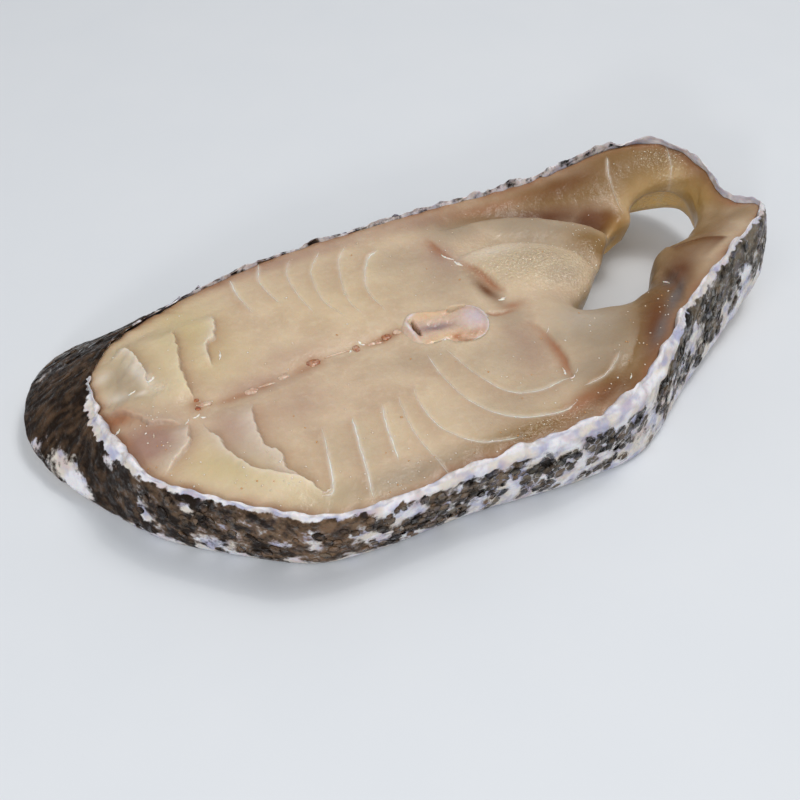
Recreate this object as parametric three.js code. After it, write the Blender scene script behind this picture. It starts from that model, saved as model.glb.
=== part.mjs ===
// A steak cut across the body of a large grouper: pale muscle round the open belly
// cavity, a thick scaly skin round the outside and one vertebra of the backbone.
// Millimetres, +Z up, lying on its lower cut face. X runs from the back of the fish to
// its belly and Y across its body. Plan positions are measured from the middle of the
// vertebra; the last lines put the origin under the middle of the whole steak.
import * as THREE from "three";

// Driving dimensions
const THICKNESS = 30; // between the two cut faces, over the back of the fish
const SKIN = 3.2; // thickness of the skin
const GAP = 0.3; // between parts that meet
const SKIN_FOOT = 0.9; // lower edge of the skin above the lower cut face
const SKIN_BULGE = 1.2; // swell of the skin between its two edges
const RIM_CREST = 0.9; // the cut rim of the skin, above its outer edge
const RIM_WAVES = [{ count: 31, height: 0.45 }, { count: 47, height: 0.3 }];
const CURL_REACH = 26; // the raised edges bend upwards over this distance from the skin
const EDGE_DROP = 1.6; // the muscle ends below the rim of the skin
const EDGE_REACH = 7;
const CAVITY_ROUND = 2.6; // rounding of the muscle at the cavity
const CAVITY_REACH = 4.5;
const CAVITY_SWELL = { share: 0.35, out: -0.8 }; // bulge of the cavity's wall
const FLAKE_STEP = 0.8; // half the width of a flake's broken edge
const BONE_TOP = 31.5; // edge of the vertebra, which stands out of the muscle
const BONE_FOOT = 0.5; // lower end of the vertebra above the lower cut face
const OUTLINE_STEPS = 152;
const CAVITY_STEPS = 48;
const BONE_STEPS = 34;
const CANAL_STEPS = 14;
const UPPER_GRAIN = 3.9; // spacing of the points over the upper face
const LOWER_GRAIN = 10; // and over the lower face
const BONE_GRAIN = 2.6;

// Outer edge of the skin at the upper face, counter-clockwise from the ridge of the back.
// top: its height. lean: how far its foot lies outside it. lift: height of the foot.
// roll: how far the cut rim curls outwards.
const RIM = [
  { x: -121, y: 12, top: 26, lean: 19, lift: 5, roll: 0 },
  { x: -118, y: -11, top: 28, lean: 6, lift: 1.5, roll: 0 },
  { x: -110, y: -29, top: 29, lean: 0, lift: 0, roll: 0 },
  { x: -92, y: -46, top: 30, lean: -3, lift: 0, roll: 0.4 },
  { x: -69, y: -62, top: 30, lean: -6, lift: 0, roll: 0.6 },
  { x: -49, y: -65, top: 30, lean: -7, lift: 0, roll: 0.6 },
  { x: -17, y: -62, top: 30.5, lean: -6, lift: 0, roll: 0.8 },
  { x: 28, y: -58.5, top: 32, lean: -2, lift: 0, roll: 2 },
  { x: 48, y: -50.5, top: 35, lean: 3, lift: 0, roll: 2.6 },
  { x: 75, y: -29, top: 39, lean: 5, lift: 2, roll: 1.6 },
  { x: 101, y: -12.5, top: 42, lean: 5, lift: 7, roll: 1 },
  { x: 123, y: 1.5, top: 42, lean: 4, lift: 12, roll: 0.6 },
  { x: 127, y: 9, top: 41, lean: 3, lift: 13, roll: 0.4 },
  { x: 120.5, y: 21, top: 37, lean: 3, lift: 13, roll: 0.4 },
  { x: 118.5, y: 34, top: 42, lean: 8, lift: 14, roll: 0.4 },
  { x: 111, y: 52, top: 43, lean: 12, lift: 14, roll: 0.4 },
  { x: 95, y: 60, top: 41, lean: 12, lift: 11, roll: 0.4 },
  { x: 80, y: 63, top: 36.5, lean: 7, lift: 5, roll: 0.6 },
  { x: 58, y: 63.5, top: 31.5, lean: 0, lift: 0, roll: 0.8 },
  { x: 10, y: 62.5, top: 30, lean: -5, lift: 0, roll: 0.6 },
  { x: -39, y: 58.5, top: 30, lean: -4, lift: 0, roll: 0.4 },
  { x: -68, y: 53, top: 29.5, lean: 3, lift: 0, roll: 0 },
  { x: -92, y: 45, top: 29, lean: 17, lift: 4, roll: 0 },
  { x: -109, y: 37, top: 28, lean: 28, lift: 8, roll: 0 },
  { x: -118, y: 26, top: 26.5, lean: 26, lift: 8, roll: 0 },
];

// Edge of the belly cavity at the upper face; under: how far the wall is cut back below.
const CAVITY = [
  { x: 46, y: -4, under: 1 },
  { x: 60, y: -8, under: 0 },
  { x: 71, y: -7, under: 0 },
  { x: 83, y: 3, under: 0 },
  { x: 101, y: 14, under: 0 },
  { x: 109, y: 21, under: 1 },
  { x: 110, y: 30, under: 8 },
  { x: 103, y: 37, under: 16 },
  { x: 93, y: 36.5, under: 20 },
  { x: 81, y: 27, under: 17 },
  { x: 70, y: 16, under: 14 },
  { x: 57, y: 3, under: 7 },
];

// The vertebra in plan: the round body and the smaller arch over the nerve canal.
const CENTRUM = { x: 5, y: -1, radius: 9.3, dome: 3.6 };
const ARCH = { x: -6.5, y: 1, radius: 7.5, dome: 1.8 };
const CANAL = { x: -7.5, y: 1.2, long: 3.4, wide: 1.7, tilt: 0.5 };

// Swellings of the muscle on the upper face.
const MOUNDS = [
  { x: 43, y: 19, long: 26, wide: 12, turn: -0.5, height: 3.4 },
  { x: 46, y: -24, long: 17, wide: 20, turn: 0, height: 1.8 },
  { x: -30, y: 28, long: 48, wide: 24, turn: 0, height: 1.6 },
  { x: -34, y: -32, long: 46, wide: 24, turn: 0, height: 1.4 },
];

// Grooves of the upper face, deepening from one end to the other.
const GROOVES = [
  { path: [[-89, -5], [-71, -5], [-49, 1], [-33, 1], [-17, 3]], wide: 4, deep: [1.2, 2.4] },
  { path: [[10, 47], [13, 33], [18, 21], [21, 9]], wide: 3.6, deep: [3, 5.4] },
  { path: [[26, -6], [27, -18], [28, -29], [27, -38]], wide: 3.6, deep: [4.6, 3.2] },
  { path: [[21, 36], [34, 37], [50, 31], [63, 21], [67, 13]], wide: 2.6, deep: [3.4, 3] },
  { path: [[14, 49], [30, 52], [46, 50], [62, 43], [76, 34], [84, 29]], wide: 5, deep: [2, 8.5] },
  { path: [[50, -45], [60, -34], [69, -24], [76, -13]], wide: 4, deep: [2, 3] },
];

// Broken edges of the flakes: the muscle on the left of each path stands higher.
const FLAKES = [
  { path: [[-88, -3], [-89, 6], [-88, 16], [-87, 25], [-86, 35]], rise: 2.2, reach: 13 },
  { path: [[-79, 10], [-78, 20], [-74, 25], [-72, 36]], rise: 1.6, reach: 9 },
  { path: [[-61, -56], [-68, -46], [-78, -39], [-84, -29], [-89, -11]], rise: 1.7, reach: 12 },
  { path: [[-65, -50], [-70, -40], [-70, -34], [-74, -26], [-72, -8]], rise: 1.6, reach: 7 },
  { path: [[-106, -28], [-96, -21], [-93, -10]], rise: 1.8, reach: 11 },
  { path: [[-117, 7], [-110, 2], [-104, -5], [-94, -11]], rise: 1.6, reach: 12 },
  { path: [[-100, 8], [-100, 18], [-102, 27], [-106, 34]], rise: 2, reach: 10 },
];

const range = (count) => Array.from({ length: count }, (_, k) => k);
const between = (from, to, share) => from + (to - from) * share;
const smooth = (from, to, value) => THREE.MathUtils.smoothstep(value, from, to);
const bell = (distance, wide) => Math.exp(-((distance / wide) ** 2));

// Closest approach of a plan point to a path: distance, side and place along the path.
function approach(path, x, y, closed = false) {
  const best = { distance: Infinity, side: 1, along: 0 };
  const spans = path.length - (closed ? 0 : 1);
  for (let k = 0; k < spans; k++) {
    const a = path[k];
    const b = path[(k + 1) % path.length];
    const dx = b.x - a.x;
    const dy = b.y - a.y;
    const share = ((x - a.x) * dx + (y - a.y) * dy) / (dx * dx + dy * dy);
    const held = THREE.MathUtils.clamp(share, 0, 1);
    const distance = Math.hypot(x - a.x - held * dx, y - a.y - held * dy);
    if (distance < best.distance) {
      best.distance = distance;
      best.side = dx * (y - a.y) - dy * (x - a.x) >= 0 ? 1 : -1;
      best.along = (k + held) / spans;
    }
  }
  return best;
}

function curved(path, steps) {
  const ends = path.map(([x, y]) => new THREE.Vector3(x, y, 0));
  return new THREE.CatmullRomCurve3(ends).getSpacedPoints(steps);
}

// The outline of the steak, evenly spaced, with its outward direction.
function outlineSamples() {
  const places = RIM.map((s) => new THREE.Vector3(s.x, s.y, s.top));
  const shapes = RIM.map((s) => new THREE.Vector3(s.lean, s.lift, s.roll));
  const place = new THREE.CatmullRomCurve3(places, true);
  const shape = new THREE.CatmullRomCurve3(shapes, true, "catmullrom");
  return range(OUTLINE_STEPS).map((k) => {
    const t = place.getUtoTmapping(k / OUTLINE_STEPS);
    const along = place.getTangent(t).setZ(0).normalize();
    const made = shape.getPoint(t);
    return {
      at: place.getPoint(t),
      out: new THREE.Vector3(along.y, -along.x, 0),
      lean: made.x,
      lift: Math.max(0, made.y),
      roll: Math.max(0, made.z),
    };
  });
}

// A point of the outer wall at height z, moved inwards by inset.
function onWall(sample, inset, z) {
  const share = (z - sample.lift) / (sample.at.z - sample.lift);
  const outward = sample.lean * (1 - share) - inset;
  return sample.at.clone().setZ(z).addScaledVector(sample.out, outward);
}

const outline = outlineSamples();
const outlineLoop = outline.map((s) => s.at);
const footLoop = outline.map((s) => onWall(s, SKIN + GAP, s.lift));

const cavityCurve = new THREE.CatmullRomCurve3(
  CAVITY.map((s) => new THREE.Vector3(s.x, s.y, s.under)),
  true,
);
const cavityLoop = cavityCurve.getSpacedPoints(CAVITY_STEPS).slice(0, CAVITY_STEPS);

for (const shape of [...GROOVES, ...FLAKES]) {
  shape.line = curved(shape.path, 4 * shape.path.length);
}

// Height of the upper cut face, with its swellings, grooves and flakes.
function upperFace(x, y) {
  const edge = approach(outlineLoop, x, y, true);
  const place = edge.along * OUTLINE_STEPS;
  const from = outlineLoop[Math.floor(place) % OUTLINE_STEPS];
  const to = outlineLoop[Math.ceil(place) % OUTLINE_STEPS];
  const rim = between(from.z, to.z, place % 1);
  let z = between(rim, THICKNESS, smooth(0, CURL_REACH, edge.distance));
  z -= EDGE_DROP * (1 - smooth(SKIN, SKIN + EDGE_REACH, edge.distance));
  for (const m of MOUNDS) {
    const u = (x - m.x) * Math.cos(m.turn) + (y - m.y) * Math.sin(m.turn);
    const v = (y - m.y) * Math.cos(m.turn) - (x - m.x) * Math.sin(m.turn);
    z += m.height * bell(Math.hypot(u / m.long, v / m.wide), 0.75);
  }
  for (const g of GROOVES) {
    const near = approach(g.line, x, y);
    z -= between(g.deep[0], g.deep[1], near.along) * bell(near.distance, g.wide);
  }
  for (const f of FLAKES) {
    const near = approach(f.line, x, y);
    const ends = smooth(0, 0.2, near.along) * smooth(0, 0.2, 1 - near.along);
    const raised = near.side > 0 ? Math.exp(-near.distance / f.reach) : 0;
    z += f.rise * ends * raised;
  }
  z -= CAVITY_ROUND * bell(approach(cavityLoop, x, y, true).distance, CAVITY_REACH);
  return z;
}

// Height of the lower cut face: flat, but lifted towards the edges that curl up.
function lowerFace(x, y) {
  const edge = approach(footLoop, x, y, true);
  const place = edge.along * OUTLINE_STEPS;
  const from = footLoop[Math.floor(place) % OUTLINE_STEPS];
  const to = footLoop[Math.ceil(place) % OUTLINE_STEPS];
  const lift = between(from.z, to.z, place % 1);
  return lift * (1 - smooth(0, CURL_REACH, edge.distance));
}

// Triangles over a set of plan points, none with another point inside its circle. A nudge
// far below any size settles points that share one circle.
function triangulate(points) {
  const far = 1e4;
  const nudge = 1e-4;
  const count = points.length;
  const settled = points.map(({ x, y }, k) => {
    return { x: x + nudge * Math.sin(13 * k), y: y + nudge * Math.sin(78 * k) };
  });
  const all = [...settled, { x: -far, y: -far }, { x: far, y: -far }, { x: 0, y: far }];
  const circled = (a, b, c) => {
    const bx = all[b].x - all[a].x;
    const by = all[b].y - all[a].y;
    const cx = all[c].x - all[a].x;
    const cy = all[c].y - all[a].y;
    const twice = 2 * (bx * cy - by * cx);
    const x = (cy * (bx * bx + by * by) - by * (cx * cx + cy * cy)) / twice;
    const y = (bx * (cx * cx + cy * cy) - cx * (bx * bx + by * by)) / twice;
    return { corners: [a, b, c], x: x + all[a].x, y: y + all[a].y, reach: x * x + y * y };
  };
  let triangles = [circled(count, count + 1, count + 2)];
  settled.forEach((p, index) => {
    const edges = new Map();
    const kept = [];
    for (const t of triangles) {
      if ((p.x - t.x) ** 2 + (p.y - t.y) ** 2 > t.reach) {
        kept.push(t);
        continue;
      }
      for (const k of range(3)) {
        const a = t.corners[k];
        const b = t.corners[(k + 1) % 3];
        if (!edges.delete(`${b} ${a}`)) edges.set(`${a} ${b}`, [a, b]);
      }
    }
    triangles = kept;
    for (const [a, b] of edges.values()) triangles.push(circled(a, b, index));
  });
  return triangles.map((t) => t.corners).filter((t) => Math.max(...t) < count);
}

function encloses(loop, x, y) {
  let inside = false;
  loop.forEach((a, k) => {
    const b = loop[(k + 1) % loop.length];
    if (a.y > y !== b.y > y && x < a.x + ((y - a.y) / (b.y - a.y)) * (b.x - a.x)) inside = !inside;
  });
  return inside;
}

// One face inside the first loop and outside the others, over evenly spread points.
function face(loops, grain, height, marked = []) {
  const within = (x, y) => loops.every((loop, k) => encloses(loop, x, y) === (k === 0));
  const clear = (x, y, room) => loops.every((loop) => approach(loop, x, y, true).distance > room);
  const points = loops.flat();
  const free = [];
  for (const p of marked) {
    const crowded = free.some((q) => Math.hypot(p.x - q.x, p.y - q.y) < 0.3 * grain);
    if (!crowded && within(p.x, p.y) && clear(p.x, p.y, 0.62 * grain)) free.push(p);
  }
  const marks = free.length;
  const box = new THREE.Box3().setFromPoints(loops[0]);
  const rise = grain * Math.sqrt(0.75);
  let shifted = false;
  for (let y = box.min.y; y < box.max.y; y += rise) {
    shifted = !shifted;
    for (let x = box.min.x + (shifted ? grain / 2 : 0.013 * y); x < box.max.x; x += grain) {
      const crowded = free.slice(0, marks).some((q) => Math.hypot(x - q.x, y - q.y) < 0.6 * grain);
      if (!crowded && within(x, y) && clear(x, y, 0.66 * grain)) free.push({ x, y });
    }
  }
  points.push(...free.map((p) => new THREE.Vector3(p.x, p.y, height(p.x, p.y))));
  const middle = (t, axis) => (points[t[0]][axis] + points[t[1]][axis] + points[t[2]][axis]) / 3;
  const triangles = triangulate(points).filter((t) => within(middle(t, "x"), middle(t, "y")));
  return { points, triangles };
}

// A closed solid between an upper and a lower face; swell adds rows that bend a wall.
function solid(upper, lower, loopSizes, swell) {
  const points = [...upper.points, ...lower.points];
  const base = upper.points.length;
  const triangles = [...upper.triangles];
  for (const [a, b, c] of lower.triangles) triangles.push([base + a, base + c, base + b]);
  let first = 0;
  loopSizes.forEach((size, loop) => {
    const ring = (start) => range(size).map((k) => start + k);
    const rows = [ring(first)];
    for (const { share, out } of swell[loop] ?? []) {
      rows.push(ring(points.length));
      range(size).forEach((k) => {
        const top = upper.points[first + k];
        const foot = lower.points[first + k];
        const next = upper.points[first + ((k + 1) % size)];
        const last = upper.points[first + ((k + size - 1) % size)];
        const side = new THREE.Vector3(next.y - last.y, last.x - next.x, 0).normalize();
        points.push(top.clone().lerp(foot, share).addScaledVector(side, out));
      });
    }
    rows.push(ring(base + first));
    for (let r = 0; r + 1 < rows.length; r++) {
      for (let k = 0; k < size; k++) {
        const a = rows[r][k];
        const b = rows[r][(k + 1) % size];
        const c = rows[r + 1][k];
        const d = rows[r + 1][(k + 1) % size];
        if (loop === 0) triangles.push([a, c, d], [a, d, b]);
        else triangles.push([a, d, c], [a, b, d]);
      }
    }
    first += size;
  });
  return surface(points, triangles);
}

function surface(points, triangles) {
  const geometry = new THREE.BufferGeometry().setFromPoints(points);
  geometry.setIndex(triangles.flat());
  geometry.computeVertexNormals();
  return geometry;
}

// The plan of the vertebra, widened by room: the outer of its two rounds at each angle.
function boneLoop(room, z) {
  return range(BONE_STEPS).map((k) => {
    const angle = (2 * Math.PI * k) / BONE_STEPS;
    const reach = [CENTRUM, ARCH].map(({ x, y, radius }) => {
      const ahead = x * Math.cos(angle) + y * Math.sin(angle);
      return ahead + Math.sqrt(ahead ** 2 - x ** 2 - y ** 2 + (radius + room) ** 2);
    });
    const far = Math.max(...reach);
    return new THREE.Vector3(far * Math.cos(angle), far * Math.sin(angle), z);
  });
}

function boneTop(x, y) {
  const swell = [CENTRUM, ARCH].map((part) => {
    const share = Math.hypot(x - part.x, y - part.y) / part.radius;
    return part.dome * Math.sqrt(Math.max(0, 1 - share ** 2));
  });
  return BONE_TOP + Math.max(...swell);
}

function canalLoop(height) {
  return range(CANAL_STEPS).map((k) => {
    const angle = (2 * Math.PI * k) / CANAL_STEPS;
    const u = CANAL.long * Math.cos(angle);
    const v = CANAL.wide * Math.sin(angle);
    const x = CANAL.x + u * Math.cos(CANAL.tilt) - v * Math.sin(CANAL.tilt);
    const y = CANAL.y + u * Math.sin(CANAL.tilt) + v * Math.cos(CANAL.tilt);
    return new THREE.Vector3(x, y, height(x, y));
  });
}

// The muscle: a leaning outer wall, the cavity and the hole for the vertebra.
function flesh() {
  const inset = SKIN + GAP;
  const rim = outline.map((s) => {
    const guess = onWall(s, inset, s.at.z);
    return onWall(s, inset, upperFace(guess.x, guess.y));
  });
  const raised = (loop) => loop.map((p) => new THREE.Vector3(p.x, p.y, upperFace(p.x, p.y)));
  const cutBack = cavityLoop.map((p, k) => {
    const next = cavityLoop[(k + 1) % CAVITY_STEPS];
    const last = cavityLoop[(k + CAVITY_STEPS - 1) % CAVITY_STEPS];
    const side = new THREE.Vector3(next.y - last.y, last.x - next.x, 0).normalize();
    const placed = p.clone().setZ(0).addScaledVector(side, Math.max(0, p.z));
    return placed.setZ(lowerFace(placed.x, placed.y));
  });
  const marks = FLAKES.flatMap((f) => beside(f.line, [FLAKE_STEP, -FLAKE_STEP]));
  marks.push(...GROOVES.flatMap((g) => beside(g.line, [0, 0.9 * g.wide, -0.9 * g.wide])));
  const upperLoops = [rim, raised(cavityLoop), raised(boneLoop(GAP, 0))];
  const lowerLoops = [footLoop, cutBack, boneLoop(GAP, 0)];
  const upper = face(upperLoops, UPPER_GRAIN, upperFace, marks);
  const lower = face(lowerLoops, LOWER_GRAIN, lowerFace);
  const sizes = upperLoops.map((loop) => loop.length);
  return solid(upper, lower, sizes, [[], [CAVITY_SWELL], []]);
}

// Rows of points beside a line, so that the face bends along it.
function beside(line, rows) {
  return line.flatMap((p, k) => {
    const next = line[Math.min(k + 1, line.length - 1)];
    const last = line[Math.max(k - 1, 0)];
    const side = new THREE.Vector3(last.y - next.y, next.x - last.x, 0).normalize();
    return rows.map((away) => p.clone().addScaledVector(side, away));
  });
}

// The skin: a band round the muscle with a thick wavy rim where it was cut.
function skin() {
  const section = (s, k) => {
    const turn = (2 * Math.PI * k) / OUTLINE_STEPS;
    const wave = RIM_WAVES.reduce((sum, w) => sum + w.height * Math.sin(w.count * turn), 0);
    const foot = s.lift + SKIN_FOOT;
    const rim = s.at.z + wave * Math.min(1, s.roll);
    const at = (share, inset, rise = 0) => onWall(s, inset, between(foot, rim, share) + rise);
    return [
      at(0, 0.6),
      at(0.12, -0.4 * SKIN_BULGE),
      at(0.5, -SKIN_BULGE),
      at(0.84, -0.5 * (SKIN_BULGE + s.roll)),
      at(1, 0.3 - s.roll, -0.4),
      at(1, 0.5 * SKIN - 0.6 * s.roll, RIM_CREST),
      at(1, SKIN, 0),
      at(0, SKIN),
    ];
  };
  const sections = outline.map(section);
  const rows = sections[0].length;
  const triangles = [];
  for (let k = 0; k < OUTLINE_STEPS; k++) {
    const on = (k + 1) % OUTLINE_STEPS;
    for (let r = 0; r < rows; r++) {
      const up = (r + 1) % rows;
      const [a, b, c, d] = [k * rows + r, on * rows + r, k * rows + up, on * rows + up];
      triangles.push([a, b, d], [a, d, c]);
    }
  }
  return surface(sections.flat(), triangles);
}

function backbone() {
  const upper = face([boneLoop(0, BONE_TOP), canalLoop(boneTop)], BONE_GRAIN, boneTop);
  const lower = face([boneLoop(0, BONE_FOOT), canalLoop(() => BONE_FOOT)], 4, () => BONE_FOOT);
  return solid(upper, lower, [BONE_STEPS, CANAL_STEPS], [[], []]);
}

function part(name, geometry, color, roughness) {
  const material = new THREE.MeshStandardMaterial({ color, roughness, metalness: 0 });
  const mesh = new THREE.Mesh(geometry, material);
  mesh.name = name;
  return mesh;
}

const steak = new THREE.Group();
steak.name = "steak";
steak.add(part("flesh", flesh(), 0xd9b3a0, 0.4));
steak.add(part("skin", skin(), 0x6d665c, 0.45));
steak.add(part("backbone", backbone(), 0xe4c4b0, 0.4));

const extent = new THREE.Box3().setFromObject(steak);
const centre = extent.getCenter(new THREE.Vector3());
steak.position.set(-centre.x, -centre.y, -extent.min.z);

const group = new THREE.Group();
group.name = "grouper_steak";
group.add(steak);
export default group;
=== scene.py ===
"""Looks of a grouper steak: moist flaked muscle, scaly mottled skin and one vertebra.

Shapes are worked out in millimetres in section coordinates, measured in plan from the middle
of the vertebra, and are put into the frame in metres when a piece is made.
"""
import math

import bmesh
import bpy
import numpy as np
from mathutils import Matrix, Vector, noise
from mathutils.bvhtree import BVHTree
from mathutils.kdtree import KDTree


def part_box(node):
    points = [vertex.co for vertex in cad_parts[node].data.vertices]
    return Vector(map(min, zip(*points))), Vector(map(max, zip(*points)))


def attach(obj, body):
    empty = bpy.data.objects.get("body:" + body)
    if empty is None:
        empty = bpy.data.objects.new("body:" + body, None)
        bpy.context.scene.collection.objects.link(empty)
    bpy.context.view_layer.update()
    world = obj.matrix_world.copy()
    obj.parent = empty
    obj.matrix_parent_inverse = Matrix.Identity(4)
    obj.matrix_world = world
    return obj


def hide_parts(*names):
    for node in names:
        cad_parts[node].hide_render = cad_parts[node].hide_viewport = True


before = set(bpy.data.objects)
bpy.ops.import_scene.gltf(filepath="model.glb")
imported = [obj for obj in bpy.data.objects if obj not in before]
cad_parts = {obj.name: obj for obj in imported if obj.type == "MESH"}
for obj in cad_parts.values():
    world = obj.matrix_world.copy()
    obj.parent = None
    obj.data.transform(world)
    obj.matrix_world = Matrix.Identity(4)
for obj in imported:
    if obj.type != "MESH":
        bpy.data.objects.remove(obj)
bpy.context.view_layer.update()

MM = 0.001
BODY = "root"

# The middle of the vertebra's box lies here in section coordinates.
BONE_MIDDLE = (0.157, -0.9)
BONE_LOW, BONE_HIGH = (np.array(corner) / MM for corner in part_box("backbone"))
ORIGIN = np.append((BONE_LOW + BONE_HIGH)[:2] / 2 - BONE_MIDDLE, 0.0)


def named(names, rows):
    """Rows of values, each value under its name."""
    return [dict(zip(names, row)) for row in rows]


# Muscle. A place is a patch in plan: its middle, two half lengths and its turn.
WELD = 0.00001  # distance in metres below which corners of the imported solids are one
WALL, UPPER, LOWER, CAVITY = range(4)  # kinds of faces of the muscle
UPPER_TURN = 0.25  # least upward lean of a face of the upper side
LOWER_TURN = -0.6  # and least lean of a wall
WALL_TALL = 12.0  # least height of a face of a wall that leans upward
CAVITY_MIDDLE = (85.0, 15.0)
FINE_CUTS = 5  # cuts in each edge of the upper face
SETTLE_SHARE = 0.6  # how far a point goes to its neighbours' mean in one round of smoothing
FACET_ROUNDS = 110  # rounds of smoothing that take out the facets
BROW_ROUNDS = 30  # rounds that soften the edge of the cavity
BROW_REACH = 6.0
FLAP_ROUNDS = 70  # and that round the far belly flap off
FLAP_REACH = 11.0
FLAP_FROM = ((66, 80), (16, 26))  # plan places between which the far flap begins
TAB = (83, 31, 4, 4, 0.0)  # a corner of the cavity's edge that leans over
TAB_SHARE = 0.4  # least share of that place
TAB_LEVEL = 19.0
# Swollen stretches of the cavity's edge: place, and how far it is pushed.
BULGES = [((91, 5, 9, 8, 0.5), (-3.0, 4.0)), ((87, 33, 7, 6, 0.0), (6.0, -2.5))]
BULGE_LEVELS = (4, 20)  # heights between which the push sets in
# The far belly flap is thinner below: place, and how far its lower side is raised.
FLAP_LIFT = ((104, 42, 14, 8, -0.3), 9.0)
FLAP_LEVELS = (16.0, 30.0)  # heights between which the raising dies out
OUTER_REACH = 6.0  # greatest distance of the muscle's rim from the skin's
RIM_STEPS = 540  # steps round the muscle's rim
RIM_MEET = 9.0  # reach over which the muscle is drawn out to meet the skin's rim
RIM_TUCK = 0.2  # how far it goes in below it
RIM_SWELL = (0.9, 3.0)  # its rise at a narrow rim, and width of rim at which it has none
BONE_ROUNDS = [(5.0, -1.0, 9.3), (-6.5, 1.0, 7.5)]  # plan place and radius of the vertebra's parts
BONE_MEET = (2.0, 0.7, 0.5)  # reach, pull and rise of the muscle beside the vertebra
SWELLS = [(22.0, 0.35), (7.0, 0.16), (1.8, 0.05)]  # wavelength and height over the cut face
LUMPY = (-106, 12, 10, 15, 0.0)  # place with lumps
LUMPS = [(6.0, 1.2), (2.6, 0.5)]
EDGE_CALM = 1.5  # distance from the edge over which the relief sets in
LINE_STEP = 1.0  # spacing of the points of a drawn line
CURVE_STEPS = 24  # steps of a curve between two points of its path
STEP_SOFT = 0.4  # half width of a step in the relief

# Grooves of the solid, which are taken out before its facets are smoothed.
SOLID_GROOVES = named(("wide", "deep", "path"), (
    (4, (1.2, 2.4), [(-89, -5), (-71, -5), (-49, 1), (-33, 1), (-17, 3)]),
    (3.6, (3, 5.4), [(10, 47), (13, 33), (18, 21), (21, 9)]),
    (3.6, (4.6, 3.2), [(26, -6), (27, -18), (28, -29), (27, -38)]),
    (2.6, (3.4, 3), [(21, 36), (34, 37), (50, 31), (63, 21), (67, 13)]),
    (5, (2, 8.5), [(14, 49), (30, 52), (46, 50), (62, 43), (76, 34), (84, 29)]),
    (4, (2, 3), [(50, -45), (60, -34), (69, -24), (76, -13)]),
))

# Folds that take their place: reach on the left and on the right of each path, depth and blood
# along it, and reach and tint of a band of painted shade on its left.
FOLDS = named(("left", "right", "deep", "stain", "band", "path"), (
    (4, 4, (1.0, 1.2, 1.6), None, None, [(-88, -4), (-78, -5.2), (-70, -3.8), (-58.5, -1.4),
     (-47.5, 1), (-34, 2.4), (-24, 2.7), (-16, 3.2)]),
    (1.0, 6, (0.5, 0.9, 0.6, 1.0, 1.3, 0.9), (0.6, 0.9, 0.2, 0.9, 1.0, 0.5), None, [(10.5, 47),
     (12.4, 42.5), (13.6, 36.5), (16.8, 30.5), (20.6, 24.3), (22.9, 18.3), (24.6, 11.9),
     (25.5, 7)]),
    (1.0, 6, (0.4, 0.9, 1.2, 1.3, 0.6), (0.1, 0.5, 1.0, 1.0, 0.1), None, [(24, -5), (28, -11),
     (29.4, -19), (29.8, -27), (28.2, -35), (27, -40)]),
    (0.8, 2, (0.6, 0.8, 0.4, 0.2), (0.9, 0.9, 0.7, 0.3), None, [(14, 1.4), (18, -0.2), (22, -0.6),
     (27, -0.8)]),
    (6, 1.3, (1.0, 2.6, 3.2, 3.0), None, None, [(14, 30), (22, 33.5), (31, 34.5), (39, 33),
     (49, 28), (57.5, 20.5), (62, 13.5), (65, 8)]),
    (8, 1.4, (1.4, 3.6, 6.0, 7.5), None, None, [(15, 48.5), (30, 50.3), (42, 48.8), (53, 45),
     (62.5, 39), (71.5, 32.3), (79, 25.5)]),
    (9, 2, (1.0, 0.9, 0.7, 0.4), None, (13, "amber"), [(67, -11), (59.7, -23.5), (52.3, -33.9),
     (45, -41.3), (36.5, -48)]),
    (1.0, 4, (1.4, 1.8, 1.6, 0.8), None, None, [(82, 0), (80.6, -5), (79, -12), (76.7, -20.8),
     (74, -26)]),
    (6, 0.9, (0.5, 1.0, 1.2), None, (12, "umber_shadow"), [(106, -4), (101.5, 4.2), (97, 8), (90, 11)]),
))
FOLD_ENDS = 0.12  # share of its length over which a fold or septum dies out
FOLD_FRAY = 0.3  # its raggedness beside a flake's
STAIN_SHARES = (0.7, 0.45)  # reach of its blood on both sides, beside its own
BAND_SOFT = 0.5  # half width of the edge of its band

# Broken edges of the flakes: the muscle on the left of each path stands higher. film, cream and
# shade: how plainly each edge shows a white film, a cream colour with painted light behind it,
# and painted shade before it.
FLAKES = named(("rise", "reach", "film", "film_reach", "cream_and_painted_light", "painted_shade", "path"), (
    (2.2, 13, 0.25, 1.5, 1.0, 1.0, [(-88, -3), (-89, 6), (-88, 16), (-87, 25), (-86, 35)]),
    (1.6, 9, 0.7, 1.5, 0.8, 1.0, [(-79, 10), (-78, 20), (-74, 25), (-72, 36)]),
    (1.7, 12, 0.8, 1.2, 0.9, 1.0, [(-61, -56), (-68, -46), (-78, -39), (-84, -29), (-89, -11)]),
    (1.6, 7, 0.6, 5.0, 0.1, 0.9, [(-65, -50), (-70, -40), (-70, -34), (-74, -26), (-72, -8)]),
    (1.8, 11, 0.6, 3.0, 0.1, 0.6, [(-106, -28), (-96, -21), (-93, -10)]),
    (1.6, 12, 0.15, 1.5, 0.3, 0.5, [(-117, 7), (-110, 2), (-104, -5), (-94, -11)]),
    (2.0, 10, 1.0, 2.2, 0.1, 0.7, [(-100, 8), (-100, 18), (-102, 27), (-106, 34)]),
))
FLAKE_ENDS = 0.2  # share of its length over which a flake's edge dies out
FLAKE_LIP = (0.12, 0.9, 0.8)  # upturn of the broken edge, its distance behind it and its width
FRAY = [(4.5, 0.9), (1.7, 0.55)]  # size and depth of the raggedness of the edges
CREAM_REACH = 12.0  # reach of the cream colour and painted light behind the edge
PAINTED_SHADE_REACH = 3.5  # reach of the painted shade before it
BEHIND_EDGE = (-0.6, 0.3)  # distances between which the colours behind the edge set in
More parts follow.
